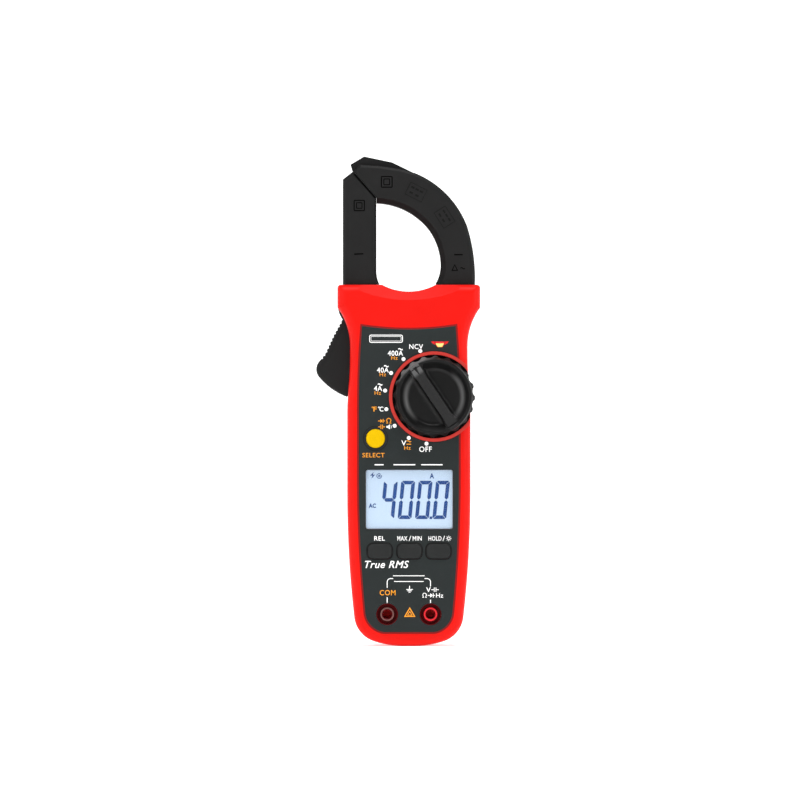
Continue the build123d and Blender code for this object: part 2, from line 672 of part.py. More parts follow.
with BuildPart() as jack_housing:
    jack_places = [(-JACK_X, JACK_Z), (JACK_X, JACK_Z)]
    posts(jack_places, JACK_HOLE_RADIUS - 0.08, 3.0, -14.9)
    block(-JACK_X, JACK_X, -12.7, -10.0, JACK_Z - 2.5, JACK_Z + 2.5)
    posts(jack_places, 4.4, JACK_FLOOR_Y, -15.5, Mode.SUBTRACT)
    posts(jack_places, COLLAR_RADIUS + 0.02, 1.6, JACK_FLOOR_Y, Mode.SUBTRACT)
    posts(jack_places, CONTACT_RADIUS + 0.02, 3.0, -2.0, Mode.SUBTRACT)
keep(jack_housing, "jack_housing")


def jack_collar(x):
    """The insulating collar round one jack's contact."""
    with BuildPart() as collar:
        posts([(x, JACK_Z)], COLLAR_RADIUS, 1.6, COLLAR_FRONT_Y)
        posts([(x, JACK_Z)], PLUG_RADIUS, 1.6, COLLAR_FRONT_Y, Mode.SUBTRACT)
        posts([(x, JACK_Z)], CONTACT_RADIUS + 0.02, 1.6, CONTACT_FRONT_Y - 0.05, Mode.SUBTRACT)
        mouth, rim = collar.faces().sort_by(Axis.Y)[0].edges().sort_by(SortBy.LENGTH)
        chamfer(mouth, 0.3)
        fillet(rim, 0.2)
    return collar


def jack_contact(x):
    """The metal socket that a 4 mm plug goes into, with its solder flange behind the housing."""
    with BuildPart() as contact:
        posts([(x, JACK_Z)], CONTACT_RADIUS, 5.0, CONTACT_FRONT_Y)
        posts([(x, JACK_Z)], 3.4, 5.0, 3.1)
        posts([(x, JACK_Z)], PLUG_RADIUS, 4.0, CONTACT_FRONT_Y, Mode.SUBTRACT)
    return contact


for side, jack_x in (("com", -JACK_X), ("volt", JACK_X)):
    keep(jack_collar(jack_x), f"{side}_jack_collar")
    keep(jack_contact(jack_x), f"{side}_jack_contact")

# Batteries


def cell(x, foot_z, up):
    """A AAA cell with its nub up or down."""
    top_z = foot_z + up * CELL_LENGTH
    with BuildPart() as piece:
        with BuildSketch(Plane(origin=(x, CELL_Y, foot_z), z_dir=(0, 0, up))):
            Circle(CELL_RADIUS)
        extrude(amount=CELL_LENGTH)
        fillet(piece.edges().filter_by(GeomType.CIRCLE), 0.5)
        with BuildSketch(Plane(origin=(x, CELL_Y, top_z), z_dir=(0, 0, up))):
            Circle(1.9)
        extrude(amount=0.8)
    return piece


CELL_1_FOOT = -145.15
CELL_2_FOOT = -102.85
keep(cell(-CELL_X, CELL_1_FOOT, 1), "battery_1")
keep(cell(CELL_X, CELL_2_FOOT, -1), "battery_2")

with BuildPart() as battery_plates:
    for x in (-CELL_X, CELL_X):
        block(x - 4.5, x + 4.5, 3.2, 11.3, WELL_TOP - 0.4, WELL_TOP)
        block(x - 4.5, x + 4.5, 3.2, 11.3, WELL_BOTTOM, WELL_BOTTOM + 0.4)
keep(battery_plates, "battery_plates")

keep(
    group_of(
        [
            coil_spring((-CELL_X, CELL_Y, WELL_BOTTOM + 0.72), (0, 0, 1), 2.6, 0.25, 0.85, 1.7),
            coil_spring((CELL_X, CELL_Y, WELL_TOP - 0.72), (0, 0, -1), 2.6, 0.25, 0.85, 1.7),
        ]
    ),
    "battery_springs",
)

# Fixed jaw


def jaw_pocket(outline, depth, y, forward):
    """Hollows half a jaw from its joint face."""
    with BuildSketch(facing(y)) as pocket:
        add(outline)
        offset(amount=-JAW_WALL)
    extrude(pocket.sketch, amount=depth if forward else -depth, mode=Mode.SUBTRACT)


with BuildPart() as fixed_jaw_front:
    with BuildSketch(facing(0)):
        add(fixed_jaw_outline())
    extrude(amount=JAW_HALF)
    outer_curve = fixed_jaw_front.faces().sort_by(Axis.Y)[0].edges().filter_by(
        lambda edge: edge.center().Z > 38 or (edge.center().X > 14.3 and edge.center().Z > -9)
    )
    chamfer(outer_curve, 1.0)
    inner_curve = fixed_jaw_front.faces().sort_by(Axis.Y)[0].edges().filter_by(
        lambda edge: -14.1 < edge.center().X < 14.2 and -8 < edge.center().Z < 26
    )
    chamfer(inner_curve, 2.4)
    jaw_pocket(fixed_jaw_outline(), 5.0, 0, True)
    posts(JAW_SCREWS, 3.2, 0, -JAW_HALF)
    posts(JAW_SCREWS, 1.5, 0, -JAW_HALF, Mode.SUBTRACT)
keep(fixed_jaw_front, "fixed_jaw_front")

with BuildPart() as fixed_jaw_rear:
    with BuildSketch(facing(0)):
        add(fixed_jaw_outline())
        with BuildLine():
            Polyline(
                (-20.0, 35.0),
                (-24.9, 39.4),
                (-25.7, 42.1),
                (-19.7, 45.7),
                (-7.3, 43.1),
                (2.5, 38.3),
                (0.0, 34.0),
                close=True,
            )
        make_face()
    extrude(amount=-JAW_HALF)
    rear_edges = fixed_jaw_rear.faces().sort_by(Axis.Y)[-1].edges()
    chamfer(rear_edges.filter_by(lambda edge: edge.center().Z > -9), 1.0)
    jaw_pocket(fixed_jaw_outline(), 5.0, 0, False)
    posts(JAW_SCREWS, 3.2, JAW_HALF, 0)
    posts(JAW_SCREWS, 1.5, JAW_HALF, 0, Mode.SUBTRACT)
keep(fixed_jaw_rear, "fixed_jaw_rear")

with BuildPart() as fixed_jaw_core:
    with BuildSketch(facing(CORE_HALF)):
        with BuildLine():
            over = ThreePointArc((-13.8, 32.6), (9.0, 25.2), (19.6, 8.0))
            down = TangentArc(over @ 1, (21.3, -8.0), tangent=over % 1)
            Line(down @ 1, (21.3, -17.6))
        trace(line_width=CORE_WIDTH)
        with Locations((10.4, -23.1)):
            Rectangle(23.8, CORE_WIDTH)
        with Locations((21.3, -20.0)):
            Rectangle(CORE_WIDTH, 7.0)
    extrude(amount=2 * CORE_HALF)
keep(fixed_jaw_core, "fixed_jaw_core")

with BuildPart() as fixed_jaw_coil:
    block(0.0, 13.5, -COIL_HALF, COIL_HALF, -27.3, -18.8)
    fillet(fixed_jaw_coil.edges().filter_by(Axis.X), 1.2)
    block(0.0, 13.5, -CORE_HALF - 0.1, CORE_HALF + 0.1, -25.7, -20.5, mode=Mode.SUBTRACT)
keep(fixed_jaw_coil, "fixed_jaw_coil")

# Moving jaw with its trigger


def trigger_half(way):
    """Half the trigger, with softened outer edges and a serrated grip."""
    with BuildPart() as half:
        with BuildSketch(facing(0)):
            add(trigger_outline())
        extrude(amount=way * TRIGGER_HALF)
        outer_face = half.faces().sort_by(Axis.Y)[0 if way > 0 else -1]
        chamfer(outer_face.edges().filter_by(lambda edge: edge.center().X < -28.5), 0.8)
        with BuildLine(facing(0)):
            grip_edge = Polyline(*TRIGGER_GRIP)
        for step in range(NOTCHES):
            notch = grip_edge @ (0.13 + 0.8 * step / (NOTCHES - 1))
            posts([(notch.X, notch.Z)], NOTCH_RADIUS, JAW_HALF, -JAW_HALF, Mode.SUBTRACT)
    return half


def moving_jaw_half(front):
    """One half shell of the moving jaw, from the joint plane outwards."""
    way = 1 if front else -1
    outer_face = 0 if front else -1
    with BuildPart() as half:
        with BuildSketch(facing(0)):
            add(moving_jaw_outline())
        extrude(amount=way * JAW_HALF)
        edges = half.faces().sort_by(Axis.Y)[outer_face].edges().filter_by(lambda edge: edge.center().Z > -5)
        chamfer(edges, 1.0)
        add(trigger_half(way).part)
        # hollow of the jaw's straight part
        with BuildSketch(facing(0)):
            with BuildLine():
                Polyline(
                    (-16.3, -8.2), (-16.3, 26.4), (-24.2, 35.4), (-27.0, 33.4), (-27.0, -8.2), close=True
                )
            make_face()
        extrude(amount=way * 5.0, mode=Mode.SUBTRACT)
        posts([(PIVOT_X, PIVOT_Z)], BUSH_RADIUS + 0.02, JAW_HALF, -JAW_HALF, Mode.SUBTRACT)
        if front:
            posts(TRIGGER_SCREWS, 1.02, 0, -5.0, Mode.SUBTRACT)
        else:
            posts(TRIGGER_SCREWS, 1.02, JAW_HALF, 0, Mode.SUBTRACT)
            posts(TRIGGER_SCREWS, 2.2, JAW_HALF, TRIGGER_HALF - 1.6, Mode.SUBTRACT)
    return half


keep(moving_jaw_half(True), "moving_jaw_front")
keep(moving_jaw_half(False), "moving_jaw_rear")
keep(screws(TRIGGER_SCREWS, 1.0, -4.8, 2.0, TRIGGER_HALF - 1.6, 1.2), "trigger_screws")

with BuildPart() as moving_jaw_core:
    block(-24.1, -19.1, -CORE_HALF, CORE_HALF, -8.0, 29.0)
    with BuildSketch(facing(CORE_HALF)):
        with BuildLine():
            Polyline((-24.1, 29.0), (-24.1, 34.0), (-23.6, 34.0), (-19.1, 28.9), close=True)
        make_face()
    extrude(amount=2 * CORE_HALF)
keep(moving_jaw_core, "moving_jaw_core")

with BuildPart() as moving_jaw_coil:
    block(-26.0, -17.2, -COIL_HALF, COIL_HALF, -4.0, 18.0)
    fillet(moving_jaw_coil.edges().filter_by(Axis.Z), 1.2)
    block(-24.2, -19.0, -CORE_HALF - 0.1, CORE_HALF + 0.1, -4.0, 18.0, mode=Mode.SUBTRACT)
keep(moving_jaw_coil, "moving_jaw_coil")

with BuildPart() as pivot_bush:
    posts([(PIVOT_X, PIVOT_Z)], BUSH_RADIUS, JAW_HALF, -JAW_HALF)
    posts([(PIVOT_X, PIVOT_Z)], PIN_RADIUS + PIN_FIT, JAW_HALF, -JAW_HALF, Mode.SUBTRACT)
keep(pivot_bush, "pivot_bush")

with BuildPart() as pivot_pin:
    posts([(PIVOT_X, PIVOT_Z)], PIN_RADIUS, 12.0, -12.0)
    chamfer(pivot_pin.edges().filter_by(GeomType.CIRCLE), 0.3)
keep(pivot_pin, "pivot_pin")

# Return spring: four turns round the rear boss of the pivot
keep(coil_spring((PIVOT_X, 8.2, PIVOT_Z), (0, 1, 0), 4.7, 0.45, 1.1, 4.2), "return_spring")
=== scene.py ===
import json
from math import cos, hypot, pi, radians, sin

import bmesh
import bpy
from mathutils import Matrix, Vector


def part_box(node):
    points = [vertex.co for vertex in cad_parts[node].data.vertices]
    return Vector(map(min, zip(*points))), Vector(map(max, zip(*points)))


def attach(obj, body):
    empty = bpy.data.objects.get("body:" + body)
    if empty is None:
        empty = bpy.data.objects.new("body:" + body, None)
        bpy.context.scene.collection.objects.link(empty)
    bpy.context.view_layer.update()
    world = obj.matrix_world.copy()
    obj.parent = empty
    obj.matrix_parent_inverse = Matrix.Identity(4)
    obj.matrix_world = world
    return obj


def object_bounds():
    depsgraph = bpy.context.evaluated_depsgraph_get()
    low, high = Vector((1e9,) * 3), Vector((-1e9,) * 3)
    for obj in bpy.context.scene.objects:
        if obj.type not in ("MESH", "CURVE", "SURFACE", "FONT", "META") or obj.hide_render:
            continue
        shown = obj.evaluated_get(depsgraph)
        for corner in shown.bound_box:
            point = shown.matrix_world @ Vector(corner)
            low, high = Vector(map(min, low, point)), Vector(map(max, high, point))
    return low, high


# The looks of a pocket clamp meter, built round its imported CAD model. Metres, in the model's own frame:
# the meter stands upright, its face looks along -Y. Sizes of marks and painted zones are in millimetres.

MM = 0.001

# Marks: thickness of ink, and how far a mark reaches into the surface under it
INK = 0.03
SINK = 0.01

# Case: half the width of the parting line, and the front face of the red shell
SEAM_LINE = 0.16
SHELL_FACE_Y = -15.0

# Half the width over which a painted zone fades at its edge
SOFT_EDGE = 0.05

# Knob: direction of its grip bar, from +X towards +Z
GRIP_ANGLE = radians(124)

# Knob: the distances between which each painted zone fades in. TOP is measured behind the knob's front,
# BAR_SIDE from the bar's middle line, the two POINTER ones along the bar, BESIDE left or right of the axis,
# and the others from the axis
TOP = (0.7, 0.2)
BAR_SIDE = (2.35, 2.1)
BAR_POINTER = (11.2, 12.6)
RIM_POINTER = (13.6, 16.4)
BESIDE = (7.0, 12.2)
BOWL_INSIDE = (10.9, 12.3)
BOWL_OUTSIDE = (14.0, 12.7)
RIM = (15.0, 15.4)
RIM_INSIDE = (15.8, 16.4)
SKIRT = (16.6, 17.0)

# How far below its top a battery's sleeve changes colour
SLEEVE_BAND = 11.0

# Strength of what gives off light
LCD_GLOW = 0.56
LENS_GLOW = 0.35
BACKDROP_GLOW = 0.50
WORLD_LIGHT = 0.32

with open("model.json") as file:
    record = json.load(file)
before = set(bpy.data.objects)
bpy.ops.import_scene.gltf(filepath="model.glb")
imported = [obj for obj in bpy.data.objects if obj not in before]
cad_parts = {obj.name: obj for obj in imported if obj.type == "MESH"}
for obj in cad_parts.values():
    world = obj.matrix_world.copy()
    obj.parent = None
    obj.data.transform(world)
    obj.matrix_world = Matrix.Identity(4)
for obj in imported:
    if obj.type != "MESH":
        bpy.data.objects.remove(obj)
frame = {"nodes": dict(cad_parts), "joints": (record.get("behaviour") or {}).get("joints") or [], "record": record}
cad_low, cad_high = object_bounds()
nodes = frame["nodes"]


def centre(node):
    """The middle of a CAD node in X and Z, in millimetres."""
    low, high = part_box(node)
    return ((low.x + high.x) / 2 / MM, (low.z + high.z) / 2 / MM)


def front(node):
    """How far forward a CAD node reaches, in millimetres."""
    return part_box(node)[0].y / MM


# ---------------------------------------------------------------- materials


class Paint:
    """A Principled material with its node tree, and short ways to add to it."""

    def __init__(self, name, colour, roughness, metallic=0.0, specular=0.5):
        self.material = bpy.data.materials.new(name)
        self.material.use_nodes = True
        self.tree = self.material.node_tree
        self.shader = self.tree.nodes["Principled BSDF"]
        self.colour = colour
        self.shader.inputs["Base Color"].default_value = (*colour, 1)
        self.shader.inputs["Roughness"].default_value = roughness
        self.shader.inputs["Metallic"].default_value = metallic
        self.shader.inputs["Specular IOR Level"].default_value = specular
        self.place = self.node("ShaderNodeTexCoord").outputs["Object"]
        self.normal = None

    def node(self, kind, inputs=None, **settings):
        """A new node with its inputs linked or set."""
        made = self.tree.nodes.new(kind)
        for key, value in settings.items():
            setattr(made, key, value)
        for key, value in (inputs or {}).items():
            if isinstance(value, bpy.types.NodeSocket):
                self.tree.links.new(value, made.inputs[key])
            else:
                made.inputs[key].default_value = value
        return made

    def noise(self, scale, detail=2.0, roughness=0.5):
        """Noise over the object's own coordinates, per metre."""
        inputs = {"Vector": self.place, "Scale": scale, "Detail": detail, "Roughness": roughness}
        return self.node("ShaderNodeTexNoise", inputs).outputs["Fac"]

    def ramp(self, value, low, high, out_low, out_high):
        """A value moved from one range to another, held at its ends."""
        inputs = {"Value": value, "From Min": low, "From Max": high, "To Min": out_low, "To Max": out_high}
        return self.node("ShaderNodeMapRange", inputs).outputs["Result"]

    def fade(self, value, start, end, most=1):
        """A mask that is 0 at one distance and full at another, in millimetres."""
        return self.ramp(value, start * MM, end * MM, 0, most)

    def maths(self, operation, first, second=0.0):
        """One arithmetic step."""
        return self.node("ShaderNodeMath", {0: first, 1: second}, operation=operation).outputs[0]

    def blend(self, share, first, second):
        """Two colours mixed by a share."""
        mix = self.node("ShaderNodeMix", data_type="RGBA")
        self.tree.links.new(share, mix.inputs[0])
        for index, colour in ((6, first), (7, second)):
            if isinstance(colour, bpy.types.NodeSocket):
                self.tree.links.new(colour, mix.inputs[index])
            else:
                mix.inputs[index].default_value = (*colour, 1)
        return mix.outputs[2]

    def shade(self, factor):
        """This paint's colour made lighter or darker."""
        return tuple(min(channel * factor, 1.0) for channel in self.colour)

    def round_axis(self, node):
        """East, north, distance and depth of a point about a node's middle, in metres."""
        x, z = centre(node)
        axes = self.node("ShaderNodeSeparateXYZ", {0: self.place}).outputs
        east = self.maths("SUBTRACT", axes[0], x * MM)
        north = self.maths("SUBTRACT", axes[2], z * MM)
        east_squared = self.maths("MULTIPLY", east, east)
        north_squared = self.maths("MULTIPLY", north, north)
        distance = self.maths("SQRT", self.maths("ADD", east_squared, north_squared))
        return east, north, distance, axes[1]

    def ring_mask(self, node, inner, outer, depth):
        """Picks a ring about a node's axis, and only what is in front of a depth, in millimetres."""
        _, _, distance, y = self.round_axis(node)
        outside = self.fade(distance, inner - SOFT_EDGE, inner + SOFT_EDGE)
        inside = self.fade(distance, outer + SOFT_EDGE, outer - SOFT_EDGE)
        ahead = self.fade(y, depth + SOFT_EDGE, depth - SOFT_EDGE)
        return self.maths("MULTIPLY", self.maths("MULTIPLY", outside, inside), ahead)

    def link(self, value, socket):
        """Feeds one of the shader's inputs."""
        self.tree.links.new(value, self.shader.inputs[socket])

    def bevelled(self, radius):
        """Rounds sharp edges in the shading by a radius in millimetres."""
        self.normal = self.node("ShaderNodeBevel", {"Radius": radius * MM}, samples=4).outputs["Normal"]
        return self.normal

    def edge_mask(self):
        """Bright on the rounded edges and black on the flats."""
        flat = self.node("ShaderNodeNewGeometry").outputs["Normal"]
        dot = self.node("ShaderNodeVectorMath", {0: self.normal, 1: flat}, operation="DOT_PRODUCT")
        return self.ramp(dot.outputs["Value"], 0.995, 0.80, 0.0, 1.0)

    def flank_mask(self):
        """Bright on faces that look sideways, black on those that look forward or back."""
        normal = self.node("ShaderNodeTexCoord").outputs["Normal"]
        ahead = self.maths("ABSOLUTE", self.node("ShaderNodeSeparateXYZ", {0: normal}).outputs[1])
        return self.ramp(ahead, 0.92, 0.60, 0.0, 1.0)

    def bump(self, height, strength, depth):
        """Raises the surface by a height field, depth in millimetres."""
        inputs = {"Height": height, "Strength": strength, "Distance": depth * MM}
        if self.normal is not None:
            inputs["Normal"] = self.normal
        self.normal = self.node("ShaderNodeBump", inputs).outputs["Normal"]

    def done(self):
        """Joins the last normal and gives the material."""
        if self.normal is not None:
            self.link(self.normal, "Normal")
        return self.material


def moulded(
    name,
    colour,
    roughness,
    grain=2600,
    depth=0.05,
    edge=0.25,
    edge_wear_and_highlight=1.5,
    specular=0.14,
    flank_shade=1.0,
    parting=False,
    zones=(),
):
    """Moulded plastic: spark-eroded grain, faint cloudiness, and glossier edges painted lighter, partly as wear
    and partly as a painted highlight.

    It may have painted shade on its flanks, a parting line where two halves meet at Y = 0, and zones that are
    tinted or carry painted shade.
    """
    paint = Paint(name, colour, roughness, specular=specular)
    paint.bevelled(edge)
    edges = paint.edge_mask()
    cloud = paint.noise(45, 3)
    fine = paint.noise(grain, 4, 0.6)
    body = paint.blend(cloud, paint.shade(0.90), paint.shade(1.10))
    body = paint.blend(paint.ramp(fine, 0.35, 0.65, 0, 0.35), body, paint.shade(1.25))
    # lighter edges: partly wear, partly a painted highlight
    body = paint.blend(paint.maths("MULTIPLY", edges, 0.6), body, paint.shade(edge_wear_and_highlight))
    if parting:
        depth_y = paint.node("ShaderNodeSeparateXYZ", {0: paint.place}).outputs[1]
        seam = paint.fade(paint.maths("ABSOLUTE", depth_y), SEAM_LINE, SEAM_LINE * 0.6)
        body = paint.blend(seam, body, paint.shade(0.35))
    # painted shade: faces that look sideways are made darker
    if flank_shade != 1.0:
        body = paint.blend(paint.flank_mask(), body, paint.shade(flank_shade))
    # zones are tinted, or painted dark as shade in hollows
    for *limits, tint_or_shade in zones:
        body = paint.blend(paint.ring_mask(*limits), body, tint_or_shade)
    paint.link(body, "Base Color")
    smudge = paint.ramp(paint.noise(160, 3), 0.3, 0.7, roughness - 0.05, roughness + 0.06)
    edge_shine = paint.maths("MULTIPLY", edges, 0.10)
    paint.link(paint.maths("SUBTRACT", smudge, edge_shine), "Roughness")
    paint.bump(fine, 0.35, depth)
    return paint.done()


def soft_key(name, colour):
    """Soft-touch rubber of the keys: very fine grain and a dusty sheen."""
    paint = Paint(name, colour, 0.62, specular=0.12)
    paint.shader.inputs["Sheen Weight"].default_value = 0.02
    paint.bevelled(0.3)
    fine = paint.noise(5200, 3, 0.6)
    paint.link(paint.blend(paint.noise(120, 2), paint.shade(0.88), paint.shade(1.12)), "Base Color")
    paint.link(paint.ramp(fine, 0.3, 0.7, 0.55, 0.70), "Roughness")
    paint.bump(fine, 0.3, 0.03)
    return paint.done()


def dial_plastic(name, colour):
    """The knob: satin bowls, a grained rim, a matte skirt and a coarser texture along the grip bar."""
    paint = Paint(name, colour, 0.28, specular=0.17)
    paint.bevelled(0.45)
    edges = paint.edge_mask()
    east, north, distance, y = paint.round_axis("dial_knob")
    across_x = paint.maths("MULTIPLY", east, -sin(GRIP_ANGLE))
    across_z = paint.maths("MULTIPLY", north, cos(GRIP_ANGLE))
    across = paint.maths("ABSOLUTE", paint.maths("ADD", across_x, across_z))
    along_x = paint.maths("MULTIPLY", east, cos(GRIP_ANGLE))
    along_z = paint.maths("MULTIPLY", north, sin(GRIP_ANGLE))
    along = paint.maths("ADD", along_x, along_z)
    top = front("dial_knob")
    raised = paint.fade(y, top + TOP[0], top + TOP[1])
    on_bar = paint.maths("MULTIPLY", paint.fade(across, *BAR_SIDE), raised)
    on_rim = paint.maths("MULTIPLY", paint.fade(distance, *RIM), raised)
    matte = paint.maths("MAXIMUM", on_bar, paint.maths("MULTIPLY", on_rim, 0.12))
    coarse = paint.noise(1500, 4, 0.65)
    fine = paint.noise(3200, 3, 0.6)
    body = paint.blend(paint.noise(70, 2), paint.shade(0.85), paint.shade(1.15))
    # the skirt is matte, and painted darker than the top: painted shade on its sideways faces
    skirt_matte_and_shade = paint.maths("MULTIPLY", paint.fade(distance, *SKIRT), paint.flank_mask())
    body = paint.blend(skirt_matte_and_shade, body, paint.shade(0.3))
    # painted highlights: light crescents at the sides of the bowls, standing in for reflections of the side lights
    inner = paint.fade(distance, *BOWL_INSIDE)
    outer = paint.fade(distance, *BOWL_OUTSIDE)
    beside = paint.fade(paint.maths("ABSOLUTE", east), *BESIDE, most=0.9)
    crescent_highlight = paint.maths("MULTIPLY", paint.maths("MULTIPLY", inner, outer), beside)
    body = paint.blend(crescent_highlight, body, paint.shade(21))
    speckle = paint.blend(coarse, paint.shade(1.2), paint.shade(4.8))
    body = paint.blend(matte, body, speckle)
    # painted highlight: the pointer end of the bar and the rim beside it are painted lighter
    pointer_highlight = paint.maths("MULTIPLY", paint.fade(along, *BAR_POINTER, most=0.8), on_bar)
    rim_inside = paint.fade(distance, *RIM_INSIDE)
    rim_highlight = paint.maths("MULTIPLY", paint.fade(along, *RIM_POINTER), rim_inside)
    body = paint.blend(paint.maths("MAXIMUM", pointer_highlight, rim_highlight), body, paint.shade(24))
    bare = paint.maths("SUBTRACT", 1.0, skirt_matte_and_shade)
    # painted highlight: the rounded edges of the knob's top are painted lighter
    edge_shine = paint.maths("MULTIPLY", paint.maths("MULTIPLY", edges, 0.5), bare)
    paint.link(paint.blend(edge_shine, body, paint.shade(2.6)), "Base Color")
    paint.link(paint.ramp(paint.maths("MAXIMUM", matte, skirt_matte_and_shade), 0, 1, 0.30, 0.62), "Roughness")
    grain = paint.maths("ADD", paint.maths("MULTIPLY", coarse, matte), paint.maths("MULTIPLY", fine, 0.12))
    paint.bump(grain, 0.5, 0.12)
    return paint.done()


def metal(name, colour, roughness, stretch=(1, 1, 14)):
    """Bare metal with fine drawn lines along one axis."""
    paint = Paint(name, colour, roughness, metallic=1.0)
    paint.bevelled(0.12)
    edges = paint.edge_mask()
    paint.place = paint.node("ShaderNodeMapping", {"Vector": paint.place, "Scale": stretch}).outputs[0]
    lines = paint.noise(900, 3)
    body = paint.blend(lines, paint.shade(0.75), paint.shade(1.15))
    paint.link(paint.blend(edges, body, paint.shade(1.4)), "Base Color")
    paint.link(paint.ramp(lines, 0.3, 0.7, roughness - 0.08, roughness + 0.12), "Roughness")
    paint.bump(lines, 0.25, 0.02)
    return paint.done()


def banded(name, colour, roughness, metallic, pitch, axis):
    """Something laid up in bands: copper turns or core laminations, a pitch in millimetres apart."""
    paint = Paint(name, colour, roughness, metallic=metallic)
    inputs = {"Vector": paint.place, "Scale": 2 * pi / (20 * pitch * MM), "Distortion": 0.4}
    wave = paint.node("ShaderNodeTexWave", inputs, bands_direction=axis, wave_profile="SIN").outputs["Fac"]
    paint.link(paint.blend(wave, paint.shade(0.45), paint.shade(1.2)), "Base Color")
    paint.link(paint.ramp(paint.noise(300, 2), 0.3, 0.7, roughness - 0.05, roughness + 0.1), "Roughness")
    paint.bump(wave, 0.6, 0.1)
    return paint.done()


def circuit_board(name, colour):
    """Solder mask with the faint relief of copper tracks under it."""
    paint = Paint(name, colour, 0.30)
    inputs = {"Vector": paint.place, "Scale": 420.0}
    cells = paint.node("ShaderNodeTexVoronoi", inputs, distance="MANHATTAN").outputs["Distance"]
    tracks = paint.ramp(cells, 0.30, 0.36, 0, 1)
    paint.link(paint.blend(tracks, paint.shade(1.9), paint.shade(0.9)), "Base Color")
    paint.link(paint.ramp(paint.noise(500, 2), 0.3, 0.7, 0.25, 0.38), "Roughness")
    paint.bump(tracks, 0.4, 0.035)
    return paint.done()


def cell_sleeve(name, colour):
    """A battery's plain shrink sleeve, with a copper-coloured band at its top."""
    paint = Paint(name, colour, 0.28)
    height = paint.node("ShaderNodeSeparateXYZ", {0: paint.place}).outputs[2]
    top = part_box("battery_1")[1].z
    band = paint.ramp(height, top - SLEEVE_BAND * MM, top - (SLEEVE_BAND - 0.2) * MM, 0, 1)
    wrinkle = paint.noise(500, 3)
    paint.link(paint.blend(band, paint.shade(1.0), (0.55, 0.30, 0.10)), "Base Color")
    paint.link(paint.ramp(wrinkle, 0.3, 0.7, 0.22, 0.36), "Roughness")
    paint.bump(wrinkle, 0.2, 0.05)
    return paint.done()


def display(name, colour):
    """The liquid crystal panel: pale blue, lit evenly from behind, with the weave of its polariser."""
    paint = Paint(name, colour, 0.35)
    low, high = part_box("lcd_glass")
    height = paint.node("ShaderNodeSeparateXYZ", {0: paint.place}).outputs[2]
    fade = paint.ramp(height, low.z, high.z, 0, 1)
    body = paint.blend(fade, paint.shade(1.04), paint.shade(0.97))
    body = paint.blend(paint.maths("MULTIPLY", paint.noise(6000, 2), 0.25), body, paint.shade(0.94))
    paint.link(body, "Base Color")
    paint.link(body, "Emission Color")
    paint.shader.inputs["Emission Strength"].default_value = LCD_GLOW
    paint.link(paint.ramp(paint.noise(350, 2), 0.3, 0.7, 0.30, 0.42), "Roughness")
    paint.bump(paint.noise(9000, 1), 0.08, 0.01)
    return paint.done()


def clear(name, colour, alpha):
    """Thin clear acrylic with the odd fine scratch."""
    paint = Paint(name, colour, 0.06)
    paint.shader.inputs["Alpha"].default_value = alpha
    paint.place = paint.node("ShaderNodeMapping", {"Vector": paint.place, "Scale": (1, 1, 9)}).outputs[0]
    scratch = paint.ramp(paint.noise(700, 4), 0.60, 0.72, 0.04, 0.20)
    paint.link(paint.blend(paint.noise(90, 2), paint.shade(0.98), paint.shade(1.0)), "Base Color")
    paint.link(scratch, "Roughness")
    return paint.done()


def ink(name, colour, roughness=0.45):
    """Screen-printed ink: nearly even, with a faintly rough film."""
    paint = Paint(name, colour, roughness, specular=0.15)
    film = paint.noise(2400, 3)
    paint.link(paint.blend(film, paint.shade(0.93), paint.shade(1.03)), "Base Color")
    paint.link(paint.ramp(film, 0.3, 0.7, roughness - 0.05, roughness + 0.08), "Roughness")
    paint.bump(film, 0.2, 0.01)
    return paint.done()


def lens(name, colour):
    """Moulded translucent lens of the warning light, lit from inside."""
    paint = Paint(name, colour, 0.18)
    paint.bevelled(0.2)
    east, north, _, _ = paint.round_axis("warning_lens")
    low_part = paint.fade(north, 0.55, 0.25)
    # the lit part narrows downwards
    slanted = paint.maths("SUBTRACT", paint.maths("ABSOLUTE", east), paint.maths("MULTIPLY", north, 0.7))
    glow = paint.maths("MULTIPLY", low_part, paint.fade(slanted, 1.85, 1.45))
    body = paint.blend(glow, (0.62, 0.012, 0.012), (0.95, 0.58, 0.16))
    paint.link(body, "Base Color")
    paint.link(body, "Emission Color")
    paint.shader.inputs["Emission Strength"].default_value = LENS_GLOW
    paint.bump(paint.noise(1800, 2), 0.2, 0.03)
    return paint.done()


# Zones, tinted or carrying painted shade: node, inner and outer radius about its axis, depth that it must be in
# front of, colour
DIAL_RING = ("dial_knob", 18.36, 19.95, -15.05, (0.48, 0.036, 0.028))
# painted shade: the case in the pocket under the knob is painted almost black
DIAL_POCKET_SHADE = ("dial_knob", -1.0, 18.36, -12.1, (0.010, 0.004, 0.004))
# painted shade: the mouths of the jacks are painted dark maroon
COM_MOUTH_SHADE = ("com_jack_collar", -1.0, 2.4, 0.0, (0.075, 0.002, 0.004))
VOLT_MOUTH_SHADE = ("volt_jack_collar", -1.0, 2.25, 0.0, (0.11, 0.002, 0.004))

COLLAR_GREY = (0.13, 0.062, 0.055)
COLLAR_RED = (0.55, 0.016, 0.022)

